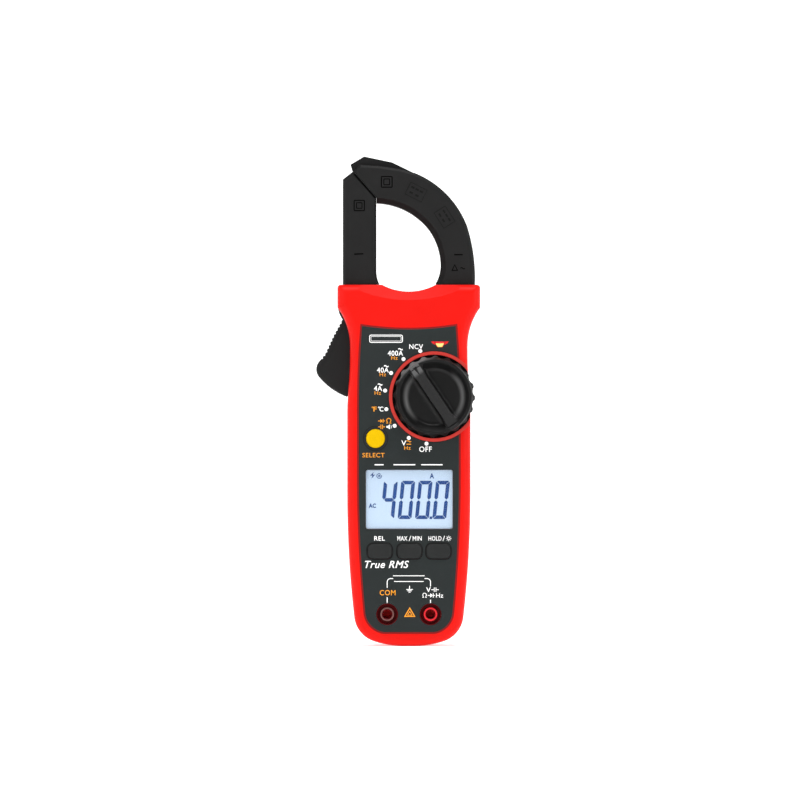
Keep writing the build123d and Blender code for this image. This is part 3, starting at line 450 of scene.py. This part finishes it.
materials = {
    "red_shell": moulded(
        "red_shell",
        (0.56, 0.0045, 0.0018),
        0.42,
        depth=0.03,
        edge_wear_and_highlight=1.05,
        specular=0.10,
        parting=True,
        zones=(DIAL_RING, DIAL_POCKET_SHADE),
    ),
    "dark_panel": moulded("dark_panel", (0.013, 0.0165, 0.0165), 0.55, grain=3600, depth=0.04),
    "dark_rear": moulded("dark_rear", (0.020, 0.022, 0.023), 0.55, grain=2000, depth=0.06),
    # jaws: painted shade on their sideways faces, and edges painted much lighter, partly wear and partly a painted
    # highlight
    "jaw_black": moulded(
        "jaw_black", (0.0085, 0.0085, 0.0085), 0.42, grain=2200, depth=0.07, edge_wear_and_highlight=3.0, flank_shade=0.2
    ),
    "knob_grey": dial_plastic("knob_grey", (0.004, 0.004, 0.004)),
    "key_dark": soft_key("key_dark", (0.015, 0.016, 0.016)),
    "key_yellow": moulded("key_yellow", (0.54, 0.335, 0.001), 0.36, depth=0.015, edge=0.5, specular=0.04),
    "clear_window": clear("clear_window", (0.10, 0.11, 0.12), 0.06),
    "lcd": display("lcd", (0.345, 0.437, 0.55)),
    "white_plastic": moulded("white_plastic", (0.80, 0.80, 0.77), 0.45),
    "grey_elastomer": banded("grey_elastomer", (0.20, 0.20, 0.21), 0.6, 0.0, 0.5, "X"),
    "board_green": circuit_board("board_green", (0.012, 0.11, 0.045)),
    "chip_black": moulded("chip_black", (0.012, 0.012, 0.013), 0.5, grain=3000),
    "steel": metal("steel", (0.56, 0.56, 0.55), 0.32, (1, 12, 1)),
    "spring_steel": metal("spring_steel", (0.60, 0.60, 0.61), 0.22, (1, 1, 6)),
    "brass": metal("brass", (0.76, 0.56, 0.24), 0.28, (1, 10, 1)),
    "copper": banded("copper", (0.62, 0.24, 0.10), 0.35, 0.8, 0.35, "Z"),
    "core_steel": banded("core_steel", (0.28, 0.28, 0.29), 0.4, 0.9, 0.5, "Y"),
    "maroon": moulded("maroon", (0.085, 0.001, 0.002), 0.40, depth=0.02, edge_wear_and_highlight=1.6, specular=0.06),
    "collar_grey": moulded("collar_grey", COLLAR_GREY, 0.36, depth=0.015, edge_wear_and_highlight=1.4, zones=(COM_MOUTH_SHADE,)),
    "collar_red": moulded("collar_red", COLLAR_RED, 0.30, depth=0.015, edge_wear_and_highlight=1.2, zones=(VOLT_MOUTH_SHADE,)),
    "lens_amber": lens("lens_amber", (0.95, 0.45, 0.05)),
    "cell_sleeve": cell_sleeve("cell_sleeve", (0.02, 0.03, 0.04)),
}

for row in frame["record"]["subparts"]:
    piece = nodes[row["node"]]
    piece.data.materials.clear()
    piece.data.materials.append(materials[row["material_slot"]])

socket = metal("socket", (0.75, 0.05, 0.05), 0.5, (1, 10, 1))
for name in ("com_jack_contact", "volt_jack_contact"):
    nodes[name].data.materials.clear()
    nodes[name].data.materials.append(socket)

white_ink = ink("white_ink", (0.95, 0.95, 0.94))
orange_ink = ink("orange_ink", (0.80, 0.30, 0.02))
red_ink = ink("red_ink", (0.62, 0.012, 0.012))
grey_ink = ink("grey_ink", (0.30, 0.31, 0.31))
gap_shade_ink = ink("gap_shade_ink", (0.006, 0.006, 0.006), 0.7)
shadow_ink = ink("shadow_ink", (0.19, 0.004, 0.004), 0.6)
segment_ink = ink("segment_ink", (0.017, 0.060, 0.225), 0.5)
marking = moulded("marking", (0.001, 0.001, 0.001), 0.7, grain=4000, depth=0.02, specular=0.0)
relief = moulded("relief", (0.005, 0.005, 0.005), 0.6, grain=4000, depth=0.02, specular=0.08)


# ---------------------------------------------------------------- printed and raised marks


class Marks:
    """Flat shapes on a face that looks along -Y or +Y, gathered into one piece. Millimetres."""

    def __init__(self, name, y, thickness=INK, way=-1):
        self.name = name
        self.low = y - way * SINK
        self.high = y + way * thickness
        self.way = way
        self.bm = bmesh.new()

    def corner(self, x, z, y):
        """A new vertex from millimetres."""
        return self.bm.verts.new((x * MM, y * MM, z * MM))

    def polygon(self, points):
        """A closed outline as a thin plate."""
        near = [self.corner(x, z, self.high) for x, z in points]
        far = [self.corner(x, z, self.low) for x, z in points]
        self.bm.faces.new(near)
        self.bm.faces.new(list(reversed(far)))
        for i in range(len(points)):
            j = (i + 1) % len(points)
            self.bm.faces.new((near[j], near[i], far[i], far[j]))

    def band(self, points, width, closed=False):
        """A line of even width through points, mitred at its corners."""
        count = len(points)
        rows = []
        for i, (x, z) in enumerate(points):
            before = points[i - 1] if closed or i else points[0]
            after = points[(i + 1) % count] if closed or i < count - 1 else points[-1]
            first = direction(before, (x, z)) if before != (x, z) else direction((x, z), after)
            last = direction((x, z), after) if after != (x, z) else first
            middle = ((first[0] + last[0]) / 2, (first[1] + last[1]) / 2)
            size = max(hypot(*middle), 0.5)
            step = width / 2 / size / size
            side = (-middle[1] * step, middle[0] * step)
            rows.append(
                [
                    self.corner(x + sign * side[0], z + sign * side[1], y)
                    for sign, y in ((1, self.high), (-1, self.high), (-1, self.low), (1, self.low))
                ]
            )
        pairs = list(zip(rows, rows[1:] + rows[:1])) if closed else list(zip(rows, rows[1:]))
        for one, two in pairs:
            for k in range(4):
                self.bm.faces.new((one[k], one[(k + 1) % 4], two[(k + 1) % 4], two[k]))
        if not closed:
            self.bm.faces.new(rows[0])
            self.bm.faces.new(list(reversed(rows[-1])))

    def disc(self, x, z, radius, steps=28):
        """A filled circle."""
        self.polygon([(x + radius * cos(t), z + radius * sin(t)) for t in turns(0, 360, steps)[:-1]])

    def arc(self, x, z, radius, width, start=0.0, end=360.0, steps=28):
        """Part of a ring, or the whole ring, between two angles in degrees."""
        points = [(x + radius * cos(t), z + radius * sin(t)) for t in turns(start, end, steps)]
        whole = abs(end - start) >= 360
        self.band(points[:-1] if whole else points, width, closed=whole)

    def rounded(self, x, z, width, height, radius, line):
        """The outline of a rounded rectangle."""
        self.band(rounded_corners(x, z, width, height, radius), line, closed=True)

    def tilde(self, x, z, width, line, height=0.28):
        """One wave of the alternating-current sign."""
        points = [(x + width * (i / 12 - 0.5), z + height * sin(2 * pi * i / 12)) for i in range(13)]
        self.band(points, line)

    def text(self, words, x, z, width, height, slant=0.0, weight=0.0):
        """Plain lettering fitted to a width and height, about its middle."""
        curve = bpy.data.curves.new("lettering", "FONT")
        curve.body = words
        curve.shear = slant
        curve.offset = weight
        curve.resolution_u = 4
        curve.space_character = 1.08
        curve.extrude = 0.5
        temporary = bpy.data.objects.new("lettering", curve)
        bpy.context.scene.collection.objects.link(temporary)
        bpy.context.view_layer.update()
        graph = bpy.context.evaluated_depsgraph_get()
        mesh = bpy.data.meshes.new_from_object(temporary.evaluated_get(graph))
        lows = [min(v.co[k] for v in mesh.vertices) for k in range(2)]
        highs = [max(v.co[k] for v in mesh.vertices) for k in range(2)]
        for vertex in mesh.vertices:
            across = (vertex.co.x - (lows[0] + highs[0]) / 2) * width / (highs[0] - lows[0])
            up = (vertex.co.y - (lows[1] + highs[1]) / 2) * height / (highs[1] - lows[1])
            depth = self.high if vertex.co.z > 0 else self.low
            vertex.co = Vector(((x + across) * MM, depth * MM, (z + up) * MM))
        self.bm.from_mesh(mesh)
        bpy.data.objects.remove(temporary)
        bpy.data.curves.remove(curve)
        bpy.data.meshes.remove(mesh)

    def finish(self, body, material):
        """Turns what was gathered into a piece that rides on a body."""
        bmesh.ops.remove_doubles(self.bm, verts=self.bm.verts, dist=1e-7)
        bmesh.ops.recalc_face_normals(self.bm, faces=self.bm.faces)
        mesh = bpy.data.meshes.new(self.name)
        self.bm.to_mesh(mesh)
        self.bm.free()
        mesh.materials.append(material)
        made = bpy.data.objects.new(self.name, mesh)
        bpy.context.scene.collection.objects.link(made)
        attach(made, body)
        return made


def direction(first, last):
    """The unit step from one point to another."""
    dx, dz = last[0] - first[0], last[1] - first[1]
    size = hypot(dx, dz)
    return (dx / size, dz / size)


def turns(start, end, steps):
    """Angles in radians, evenly spaced, both ends included."""
    return [radians(start + (end - start) * i / steps) for i in range(steps + 1)]


def rounded_corners(x, z, width, height, radius):
    """The points of a rounded rectangle about its middle."""
    points = []
    for quarter, (sx, sz) in enumerate(((1, 1), (-1, 1), (-1, -1), (1, -1))):
        corner_x = x + sx * (width / 2 - radius)
        corner_z = z + sz * (height / 2 - radius)
        for t in turns(90 * quarter, 90 * quarter + 90, 6):
            points.append((corner_x + radius * cos(t), corner_z + radius * sin(t)))
    return points


def front_outline(node):
    """The outer edge of a CAD node's front face, as points in millimetres."""
    piece = nodes[node]
    places = [piece.matrix_world @ vertex.co for vertex in piece.data.vertices]
    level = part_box(node)[0].y
    sides = {}
    for face in piece.data.polygons:
        corners = [places[i] for i in face.vertices]
        if any(corner.y > level + 0.02 * MM for corner in corners):
            continue
        flat = [(round(corner.x / MM, 3), round(corner.z / MM, 3)) for corner in corners]
        for start, end in zip(flat, flat[1:] + flat[:1]):
            if (end, start) in sides:
                del sides[(end, start)]
            elif start != end:
                sides[(start, end)] = True
    following = dict(sides.keys())
    loops = []
    while following:
        start = next(iter(following))
        loop = [start]
        step = following.pop(start)
        while step != start and step in following:
            loop.append(step)
            step = following.pop(step)
        loops.append(loop)
    return max(loops, key=lambda loop: max(z for _, z in loop) - min(z for _, z in loop))


def omega(marks, x, z, size, line):
    """The ohm sign."""
    marks.arc(x, z + 0.1 * size, 0.42 * size, line, -58, 238, 20)
    for side in (-1, 1):
        foot = z - 0.5 * size + line / 2
        marks.band([(x + side * 0.14 * size, foot), (x + side * 0.52 * size, foot)], line)


def diode(marks, x, z, width, height, line):
    """A diode: a solid arrowhead against a bar, on a line."""
    half = height / 2
    marks.polygon([(x - 0.55 * half, z + half), (x - 0.55 * half, z - half), (x + 0.65 * half, z)])
    marks.band([(x + 0.85 * half, z + half), (x + 0.85 * half, z - half)], line)
    marks.band([(x - width / 2, z), (x - 0.6 * half, z)], line)
    marks.band([(x + 0.85 * half, z), (x + width / 2, z)], line)


def capacitor(marks, x, z, width, height, line):
    """Two plates with a lead each."""
    gap = 0.12 * width
    for side in (-1, 1):
        marks.band([(x + side * gap, z + height / 2), (x + side * gap, z - height / 2)], line)
        marks.band([(x + side * gap, z), (x + side * width / 2, z)], line)


def earth(marks, x, z, size, line):
    """The earth sign: a lead down to three shortening bars."""
    marks.band([(x, z + size * 0.55), (x, z)], line)
    for i, share in enumerate((1.0, 0.64, 0.28)):
        level = z - i * size * 0.2
        marks.band([(x - size * 0.5 * share, level), (x + size * 0.5 * share, level)], line)


def sun(marks, x, z, size, line):
    """The backlight sign: a ring with eight rays."""
    marks.arc(x, z, size * 0.26, line, steps=16)
    for t in turns(0, 315, 7):
        near, far = size * 0.38, size * 0.52
        marks.band([(x + near * cos(t), z + near * sin(t)), (x + far * cos(t), z + far * sin(t))], line)


face_y = front("face_panel")
dial_x, dial_z = centre("dial_knob")
lcd_x, lcd_z = centre("lcd_window")
select_x, select_z = centre("select_button")
com_x, jack_z = centre("com_jack_collar")
volt_x = centre("volt_jack_collar")[0]
middle_x = (com_x + volt_x) / 2
KEYS = ("rel_button", "max_min_button", "hold_button")
key_z = centre(KEYS[0])[1]

# Dial scale: words by their offset from the dial's middle, with width and height
RANGES = [
    ("NCV", -7.9, 21.9, 6.0, 2.15),
    ("400A", -17.0, 19.0, 6.7, 2.25),
    ("40A", -22.5, 11.6, 5.2, 2.25),
    ("4A", -24.6, 3.6, 3.6, 2.25),
    ("V", -13.3, -20.4, 2.1, 2.2),
    ("OFF", -3.8, -23.1, 5.5, 2.35),
]
# Offsets of the units and of the alternating-current signs from the dial's middle
HERTZ = [(-17.4, 16.95), (-22.5, 9.7), (-24.7, 1.55), (-11.7, -22.5)]
TILDES = [(-14.75, 20.75), (-21.0, 13.3), (-23.7, 5.3)]
# Dots: their angles, and the circle that they stand on
DOT_ANGLES = [104.2 + 22.75 * i for i in range(8)]
DOT_CIRCLE = 20.7
dots_x, dots_z = dial_x - 1.0, dial_z - 0.1

white = Marks("panel_print_white", face_y)
for words, dx, dz, width, height in RANGES:
    white.text(words, dial_x + dx, dial_z + dz, width, height, weight=0.006)
for dx, dz in TILDES:
    white.tilde(dial_x + dx, dial_z + dz, 1.9, 0.42)
for angle in map(radians, DOT_ANGLES):
    white.disc(dots_x + DOT_CIRCLE * cos(angle), dots_z + DOT_CIRCLE * sin(angle), 0.85)
white.arc(dial_x - 24.2, dial_z - 4.75, 0.28, 0.2, steps=14)
white.text("C", dial_x - 23.1, dial_z - 5.5, 1.7, 2.1, weight=0.01)
# continuity sign
speaker_x, speaker_z = dial_x - 19.9, dial_z - 13.3
white.polygon(
    [
        (speaker_x - 1.0, speaker_z + 0.4),
        (speaker_x - 0.4, speaker_z + 0.4),
        (speaker_x + 0.5, speaker_z + 1.1),
        (speaker_x + 0.5, speaker_z - 1.1),
        (speaker_x - 0.4, speaker_z - 0.4),
        (speaker_x - 1.0, speaker_z - 0.4),
    ]
)
white.arc(speaker_x + 0.2, speaker_z, 0.95, 0.22, -40, 40, 8)
# empty name frame and a plain rule over the display
frame_x, frame_z = dial_x - 21.1, dial_z + 25.35
white.rounded(frame_x, frame_z, 14.4, 3.2, 0.7, 0.3)
white.rounded(frame_x, frame_z, 13.2, 2.0, 0.4, 0.16)
rule_z = lcd_z + 15.2
for start, end in ((-15.2, -11.3), (-6.9, 2.6), (5.2, 14.6)):
    white.band([(lcd_x + start, rule_z), (lcd_x + end, rule_z)], 0.45)
# words over the keys
word_z = key_z + 5.6
rel_x, max_x, hold_x = [centre(key)[0] for key in KEYS]
white.text("REL", rel_x - 0.1, word_z, 4.6, 1.9, weight=0.008)
white.text("MAX", max_x - 3.15, word_z, 4.4, 1.95, weight=0.004)
white.text("MIN", max_x + 3.35, word_z, 3.9, 1.95, weight=0.004)
white.text("HOLD", hold_x - 1.55, word_z, 5.7, 1.95, weight=0.004)
for slash_x in (max_x + 0.2, hold_x + 2.3):
    white.band([(slash_x - 0.4, key_z + 4.5), (slash_x + 0.4, key_z + 6.7)], 0.24)
sun(white, hold_x + 4.5, word_z, 2.3, 0.22)
white.text("True RMS", com_x - 0.1, key_z - 5.8, 19.3, 3.2, slant=0.28, weight=0.008)
# jacks: a bracket over both, an earth sign, and the ranges of the right one
for side, jack_x in ((-1, com_x), (1, volt_x)):
    corner_x = jack_x - side * 1.5
    bend = [(corner_x + side * 1.5 * cos(t), jack_z + 14.2 + 1.5 * sin(t)) for t in turns(0, 90, 6)]
    foot_z = jack_z + (11.6 if side < 0 else 12.2)
    white.band([(jack_x, foot_z)] + bend + [(jack_x - side * 2.6, jack_z + 15.7)], 0.32)
    white.band([(jack_x, jack_z + (7.5 if side < 0 else 6.4)), (jack_x, jack_z + 5.05)], 0.36)
for level, half in ((16.9, 6.9), (14.4, 6.5)):
    white.band([(middle_x - half, jack_z + level), (middle_x + half, jack_z + level)], 0.3)
earth(white, middle_x + 0.3, jack_z + 10.9, 2.9, 0.3)
white.text("V", volt_x - 0.9, jack_z + 10.8, 2.0, 2.05, weight=0.012)
capacitor(white, volt_x + 2.0, jack_z + 10.8, 3.2, 1.9, 0.3)
omega(white, volt_x - 2.6, jack_z + 8.3, 1.9, 0.27)
diode(white, volt_x + 0.4, jack_z + 8.3, 3.2, 1.9, 0.27)
white.text("Hz", volt_x + 4.0, jack_z + 8.3, 3.1, 1.9, weight=0.004)
white.finish("case", white_ink)

orange = Marks("panel_print_orange", face_y)
for dx, dz in HERTZ:
    orange.text("Hz", dial_x + dx, dial_z + dz, 2.8, 1.6)
orange.arc(dial_x - 27.0, dial_z - 4.75, 0.28, 0.2, steps=14)
orange.text("F", dial_x - 25.9, dial_z - 5.5, 1.4, 2.1, weight=0.012)
diode(orange, dial_x - 23.1, dial_z - 10.7, 3.0, 1.7, 0.32)
omega(orange, dial_x - 19.9, dial_z - 10.7, 2.2, 0.34)
capacitor(orange, dial_x - 23.0, dial_z - 13.3, 3.0, 1.9, 0.32)
orange.tilde(dial_x - 11.1, dial_z - 19.6, 2.0, 0.36)
orange.band([(dial_x - 12.1, dial_z - 20.9), (dial_x - 10.1, dial_z - 20.9)], 0.36)
orange.text("SELECT", select_x - 0.9, select_z - 7.3, 9.7, 1.95, weight=0.004)
orange.text("COM", com_x + 0.2, jack_z + 9.5, 6.9, 2.3, weight=0.008)
# plain nested triangles between the jacks
triangle_x = middle_x + 0.4
for half, foot, tip, line in ((2.15, -0.9, 2.75, 0.42), (1.0, -0.35, 1.25, 0.3)):
    base = [(triangle_x - half, jack_z + foot), (triangle_x + half, jack_z + foot)]
    orange.band(base + [(triangle_x, jack_z + tip)], line, closed=True)
orange.finish("case", orange_ink)

# painted shadow: a dark line on the case round the panel
border = Marks("panel_shadow_line", SHELL_FACE_Y, 0.02)
border.band(front_outline("face_panel"), 1.9, closed=True)
border.finish("case", shadow_ink)

# wings beside the warning light
light_x, light_z = centre("warning_lens")
wings = Marks("warning_light_wings", face_y)
for side in (-1, 1):
    wings.polygon(
        [
            (light_x + side * 2.4, light_z + 1.3),
            (light_x + side * 3.9, light_z + 1.25),
            (light_x + side * 3.3, light_z + 0.5),
            (light_x + side * 1.9, light_z - 0.3),
        ]
    )
wings.finish("case", red_ink)

# painted shade: dark rings round the keys and the SELECT button, where the gaps round them are in shade
gap_shade = Marks("key_surrounds", face_y, 0.02)
for key in KEYS:
    gap_shade.rounded(centre(key)[0], key_z, 11.35, 7.25, 2.7, 0.42)
select_low, select_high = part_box("select_button")
gap_shade.arc(select_x, select_z, (select_high.x - select_low.x) / 2 / MM + 0.28, 0.34, steps=40)
gap_shade.finish("case", gap_shade_ink)

# Display: seven-segment figures and small signs between the glass and the window
DIGIT_WIDTH = 6.1
DIGIT_HEIGHT = 16.8
STROKE = 1.6
SEGMENT_GAP = 0.11
CORNER_CUT = 0.7
LEAN = 0.10
FIRST_DIGIT = -8.9
DIGIT_PITCH = 7.62
SEGMENTS = {"0": "abcdef", "4": "bcfg"}


def figure(marks, shape, x, z):
    """One leaning seven-segment figure about a middle, its bars mitred where they meet."""
    wide, tall = DIGIT_WIDTH / 2, DIGIT_HEIGHT / 2
    inside, half, gap = wide - STROKE, STROKE / 2, SEGMENT_GAP
    cut, half_cut = CORNER_CUT, CORNER_CUT / 2
    across = [
        (cut - wide, tall),
        (wide - cut, tall),
        (wide - half_cut - gap, tall - half_cut),
        (inside - gap, tall - STROKE),
        (gap - inside, tall - STROKE),
        (gap + half_cut - wide, tall - half_cut),
    ]
    upright = [
        (wide, tall - cut),
        (wide - half_cut, tall - half_cut - gap),
        (inside, tall - STROKE - gap),
        (inside, half + gap),
        (inside + half, gap),
        (wide, half + gap),
    ]
    right, left = inside + half - gap, gap - inside - half
    middle_bar = [(left, 0), (left + half, half), (right - half, half), (right, 0), (right - half, -half)]
    middle_bar.append((left + half, -half))
    bars = {
        "a": (across, 1, 1),
        "d": (across, 1, -1),
        "b": (upright, 1, 1),
        "c": (upright, 1, -1),
        "e": (upright, -1, -1),
        "f": (upright, -1, 1),
        "g": (middle_bar, 1, 1),
    }
    for name in SEGMENTS[shape]:
        outline, flip_x, flip_z = bars[name]
        marks.polygon([(x + px * flip_x + LEAN * pz * flip_z, z + pz * flip_z) for px, pz in outline])


segments = Marks("display_figures", front("lcd_glass"), 0.035)
for place, shape in enumerate("4000"):
    figure(segments, shape, lcd_x + FIRST_DIGIT + DIGIT_PITCH * place, lcd_z - 0.25)
# decimal point
segments.polygon(
    [(lcd_x + 8.85 + dx, lcd_z - 8.65 + dz) for dx, dz in ((0, 0), (1.15, 0), (1.25, 1.15), (0.1, 1.15))]
)
segments.text("A", lcd_x + 9.9, lcd_z + 10.3, 2.0, 2.3, weight=0.045)
segments.text("AC", lcd_x - 16.2, lcd_z - 2.8, 3.2, 2.0, weight=0.045)
# mains flash and power-off clock
flash_x, flash_z = lcd_x - 16.1, lcd_z + 10.5
segments.polygon(
    [
        (flash_x + dx, flash_z + dz)
        for dx, dz in ((0.5, 1.5), (-1.1, -0.15), (-0.1, -0.1), (-0.5, -1.5), (1.1, 0.35), (0.1, 0.3))
    ]
)
clock_x, clock_z = lcd_x - 13.2, lcd_z + 10.25
segments.arc(clock_x, clock_z, 1.05, 0.3, -300, 20, 22)
segments.arc(clock_x, clock_z, 0.42, 0.28, steps=12)
segments.band([(clock_x, clock_z), (lcd_x - 12.6, lcd_z + 10.9)], 0.26)
segments.finish("case", segment_ink)

# Jaws: plain raised squares and bars
jaw_y = front("fixed_jaw_front")
hinge = next(j for j in frame["joints"] if j["name"] == "jaw_hinge")["pos_m"]
pivot_x, pivot_z = hinge[0] / MM, hinge[2] / MM


def nested_squares(marks, x, z, size):
    """A plain square inside another."""
    marks.rounded(x, z, size, size, 0.3, 0.42)
    marks.rounded(x, z, size * 0.54, size * 0.54, 0.2, 0.34)


def blank_label(marks, x, z, tilt):
    """A framed label with two rows of short dashes, turned with the jaw's curve."""
    right = (cos(radians(tilt)), sin(radians(tilt)))

    def place(along, over):
        return (x + along * right[0] - over * right[1], z + along * right[1] + over * right[0])

    corners = ((-4, -2.9), (4, -2.9), (4, 2.9), (-4, 2.9))
    marks.band([place(*corner) for corner in corners], 0.26, closed=True)
    for row, starts in ((1.2, (-3.0, -0.9, 1.2)), (-1.2, (-2.6, 0.2))):
        for start in starts:
            marks.band([place(start, row), place(start + 1.6, row)], 0.8)


moving_marks = Marks("moving_jaw_marks", jaw_y, 0.05)
nested_squares(moving_marks, pivot_x - 0.8, pivot_z + 43.9, 4.5)
moving_marks.band([(pivot_x - 3.0, pivot_z + 22.5), (pivot_x + 1.0, pivot_z + 22.7)], 0.55)
moving_marks.finish("moving_jaw", marking)

fixed_marks = Marks("fixed_jaw_marks", jaw_y, 0.05)
nested_squares(fixed_marks, pivot_x + 11.3, pivot_z + 54.3, 4.7)
fixed_marks.band([(pivot_x + 41.0, pivot_z + 22.3), (pivot_x + 44.7, pivot_z + 22.3)], 0.5)
# plain triangle and alternating-current sign at the jaw's root
sign_x, sign_z = pivot_x + 41.2, pivot_z + 16.4
triangle = [(sign_x - 1.2, sign_z - 1.0), (sign_x + 1.2, sign_z - 1.0), (sign_x, sign_z + 1.4)]
fixed_marks.band(triangle, 0.34, closed=True)
fixed_marks.tilde(sign_x + 3.5, sign_z - 0.1, 2.0, 0.34)
fixed_marks.finish("case", marking)

labels = Marks("fixed_jaw_labels", jaw_y, 0.06)
blank_label(labels, pivot_x + 24.2, pivot_z + 49.8, -27)
blank_label(labels, pivot_x + 36.7, pivot_z + 38.8, -57)
labels.finish("case", relief)

# ---------------------------------------------------------------- back: a blank rating plate and an arrow

cover_low, cover_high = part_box("battery_cover")
back_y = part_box("rear_shell")[1].y / MM
plate = Marks("rating_plate", back_y, 0.12, way=1)
plate_z = cover_high.z / MM + 24.0
plate.polygon(rounded_corners(0, plate_z, 32.0, 26.0, 2.0))
plate.finish("case", materials["dark_rear"])
plate_print = Marks("rating_plate_lines", back_y + 0.12, 0.03, way=1)
plate_print.rounded(0, plate_z, 29.6, 23.6, 1.5, 0.25)
for i in range(5):
    line_z = plate_z + 8.0 - 4.0 * i
    plate_print.band([(-12.0, line_z), (12.0 - 5.0 * (i % 2), line_z)], 0.35)
plate_print.finish("case", grey_ink)

cover_y = cover_high.y / MM
arrow = Marks("battery_cover_arrow", cover_y, 0.03, way=1)
arrow_z = cover_low.z / MM + 22.0
arrow.band([(0, arrow_z + 4.0), (0, arrow_z - 2.5)], 0.5)
arrow.polygon([(-1.6, arrow_z - 2.0), (1.6, arrow_z - 2.0), (0, arrow_z - 4.6)])
arrow.finish("case", grey_ink)

# ---------------------------------------------------------------- studio


def studio_backdrop():
    """A pale floor that curves up into walls behind the meter and on both sides."""
    reach, bend, height = 3.4, 0.8, 4.0
    profile = [(reach - bend + bend * cos(t), bend + bend * sin(t)) for t in turns(-90, 0, 14)]
    profile.append((reach, height))
    verts = [(-reach, -reach, 0), (reach, -reach, 0), (reach, reach, 0), (-reach, reach, 0)]
    faces = [(0, 1, 2, 3)]
    for wall in (
        lambda along, out, up: (along, out, up),
        lambda along, out, up: (-out, along, up),
        lambda along, out, up: (out, along, up),
    ):
        base = len(verts)
        verts += [wall(along, out, up) for out, up in profile for along in (-reach, reach)]
        for near in range(base, len(verts) - 2, 2):
            faces.append((near, near + 1, near + 3, near + 2))
    mesh = bpy.data.meshes.new("backdrop")
    mesh.from_pydata([(x, y, cad_low.z + z) for x, y, z in verts], [], faces)
    for face in mesh.polygons:
        face.use_smooth = True
    paint = Paint("backdrop", (0.92, 0.92, 0.92), 0.8, specular=0.1)
    paint.link(paint.blend(paint.noise(6, 2), (0.915, 0.915, 0.915), (0.93, 0.93, 0.93)), "Base Color")
    paint.shader.inputs["Emission Color"].default_value = (1, 1, 1, 1)
    paint.shader.inputs["Emission Strength"].default_value = BACKDROP_GLOW
    mesh.materials.append(paint.done())
    made = bpy.data.objects.new("backdrop", mesh)
    bpy.context.scene.collection.objects.link(made)


def softbox(name, place, target, width, height, power):
    """A rectangular area light aimed at a point."""
    light = bpy.data.lights.new(name, "AREA")
    light.shape = "RECTANGLE"
    light.size = width
    light.size_y = height
    light.energy = power
    made = bpy.data.objects.new(name, light)
    made.location = place
    made.rotation_mode = "QUATERNION"
    made.rotation_quaternion = (Vector(target) - Vector(place)).to_track_quat("-Z", "Y")
    bpy.context.scene.collection.objects.link(made)


# Softboxes: name, place, width, height and power in watts
SOFTBOXES = [
    ("key", (-0.70, -1.30, 0.75), 0.8, 0.8, 6.5),
    ("left_side", (-1.20, -0.75, 0.00), 0.6, 1.2, 3),
    ("right_side", (1.20, -0.75, 0.00), 0.8, 1.2, 7),
    ("top", (0.05, -0.35, 1.10), 0.9, 0.5, 14),
]

studio_backdrop()
middle = (cad_low + cad_high) / 2
for name, place, width, height, power in SOFTBOXES:
    softbox(name, place, middle, width, height, power)

world = bpy.data.worlds.new("studio")
world.use_nodes = True
world.node_tree.nodes["Background"].inputs["Color"].default_value = (1, 1, 1, 1)
world.node_tree.nodes["Background"].inputs["Strength"].default_value = WORLD_LIGHT
bpy.context.scene.world = world

# ---------------------------------------------------------------- camera

# Metres: from the face to the camera, the width that the view takes in, and the shift of its middle
CAMERA_DISTANCE = 3.0
VIEW_WIDTH = 0.3508
VIEW_OFFSET = (0.0008, 0.0004)
SENSOR_WIDTH = 36.0

camera_data = bpy.data.cameras.new("camera")
camera_data.sensor_width = SENSOR_WIDTH
camera_data.lens = SENSOR_WIDTH * CAMERA_DISTANCE / VIEW_WIDTH
camera_data.clip_end = 20.0
camera = bpy.data.objects.new("camera", camera_data)
camera.location = (middle.x + VIEW_OFFSET[0], face_y * MM - CAMERA_DISTANCE, middle.z + VIEW_OFFSET[1])
camera.rotation_euler = (radians(90), 0, 0)
bpy.context.scene.collection.objects.link(camera)
bpy.context.scene.camera = camera

scene = bpy.context.scene
scene.view_settings.view_transform = "Standard"
scene.view_settings.look = "None"

bpy.context.view_layer.update()
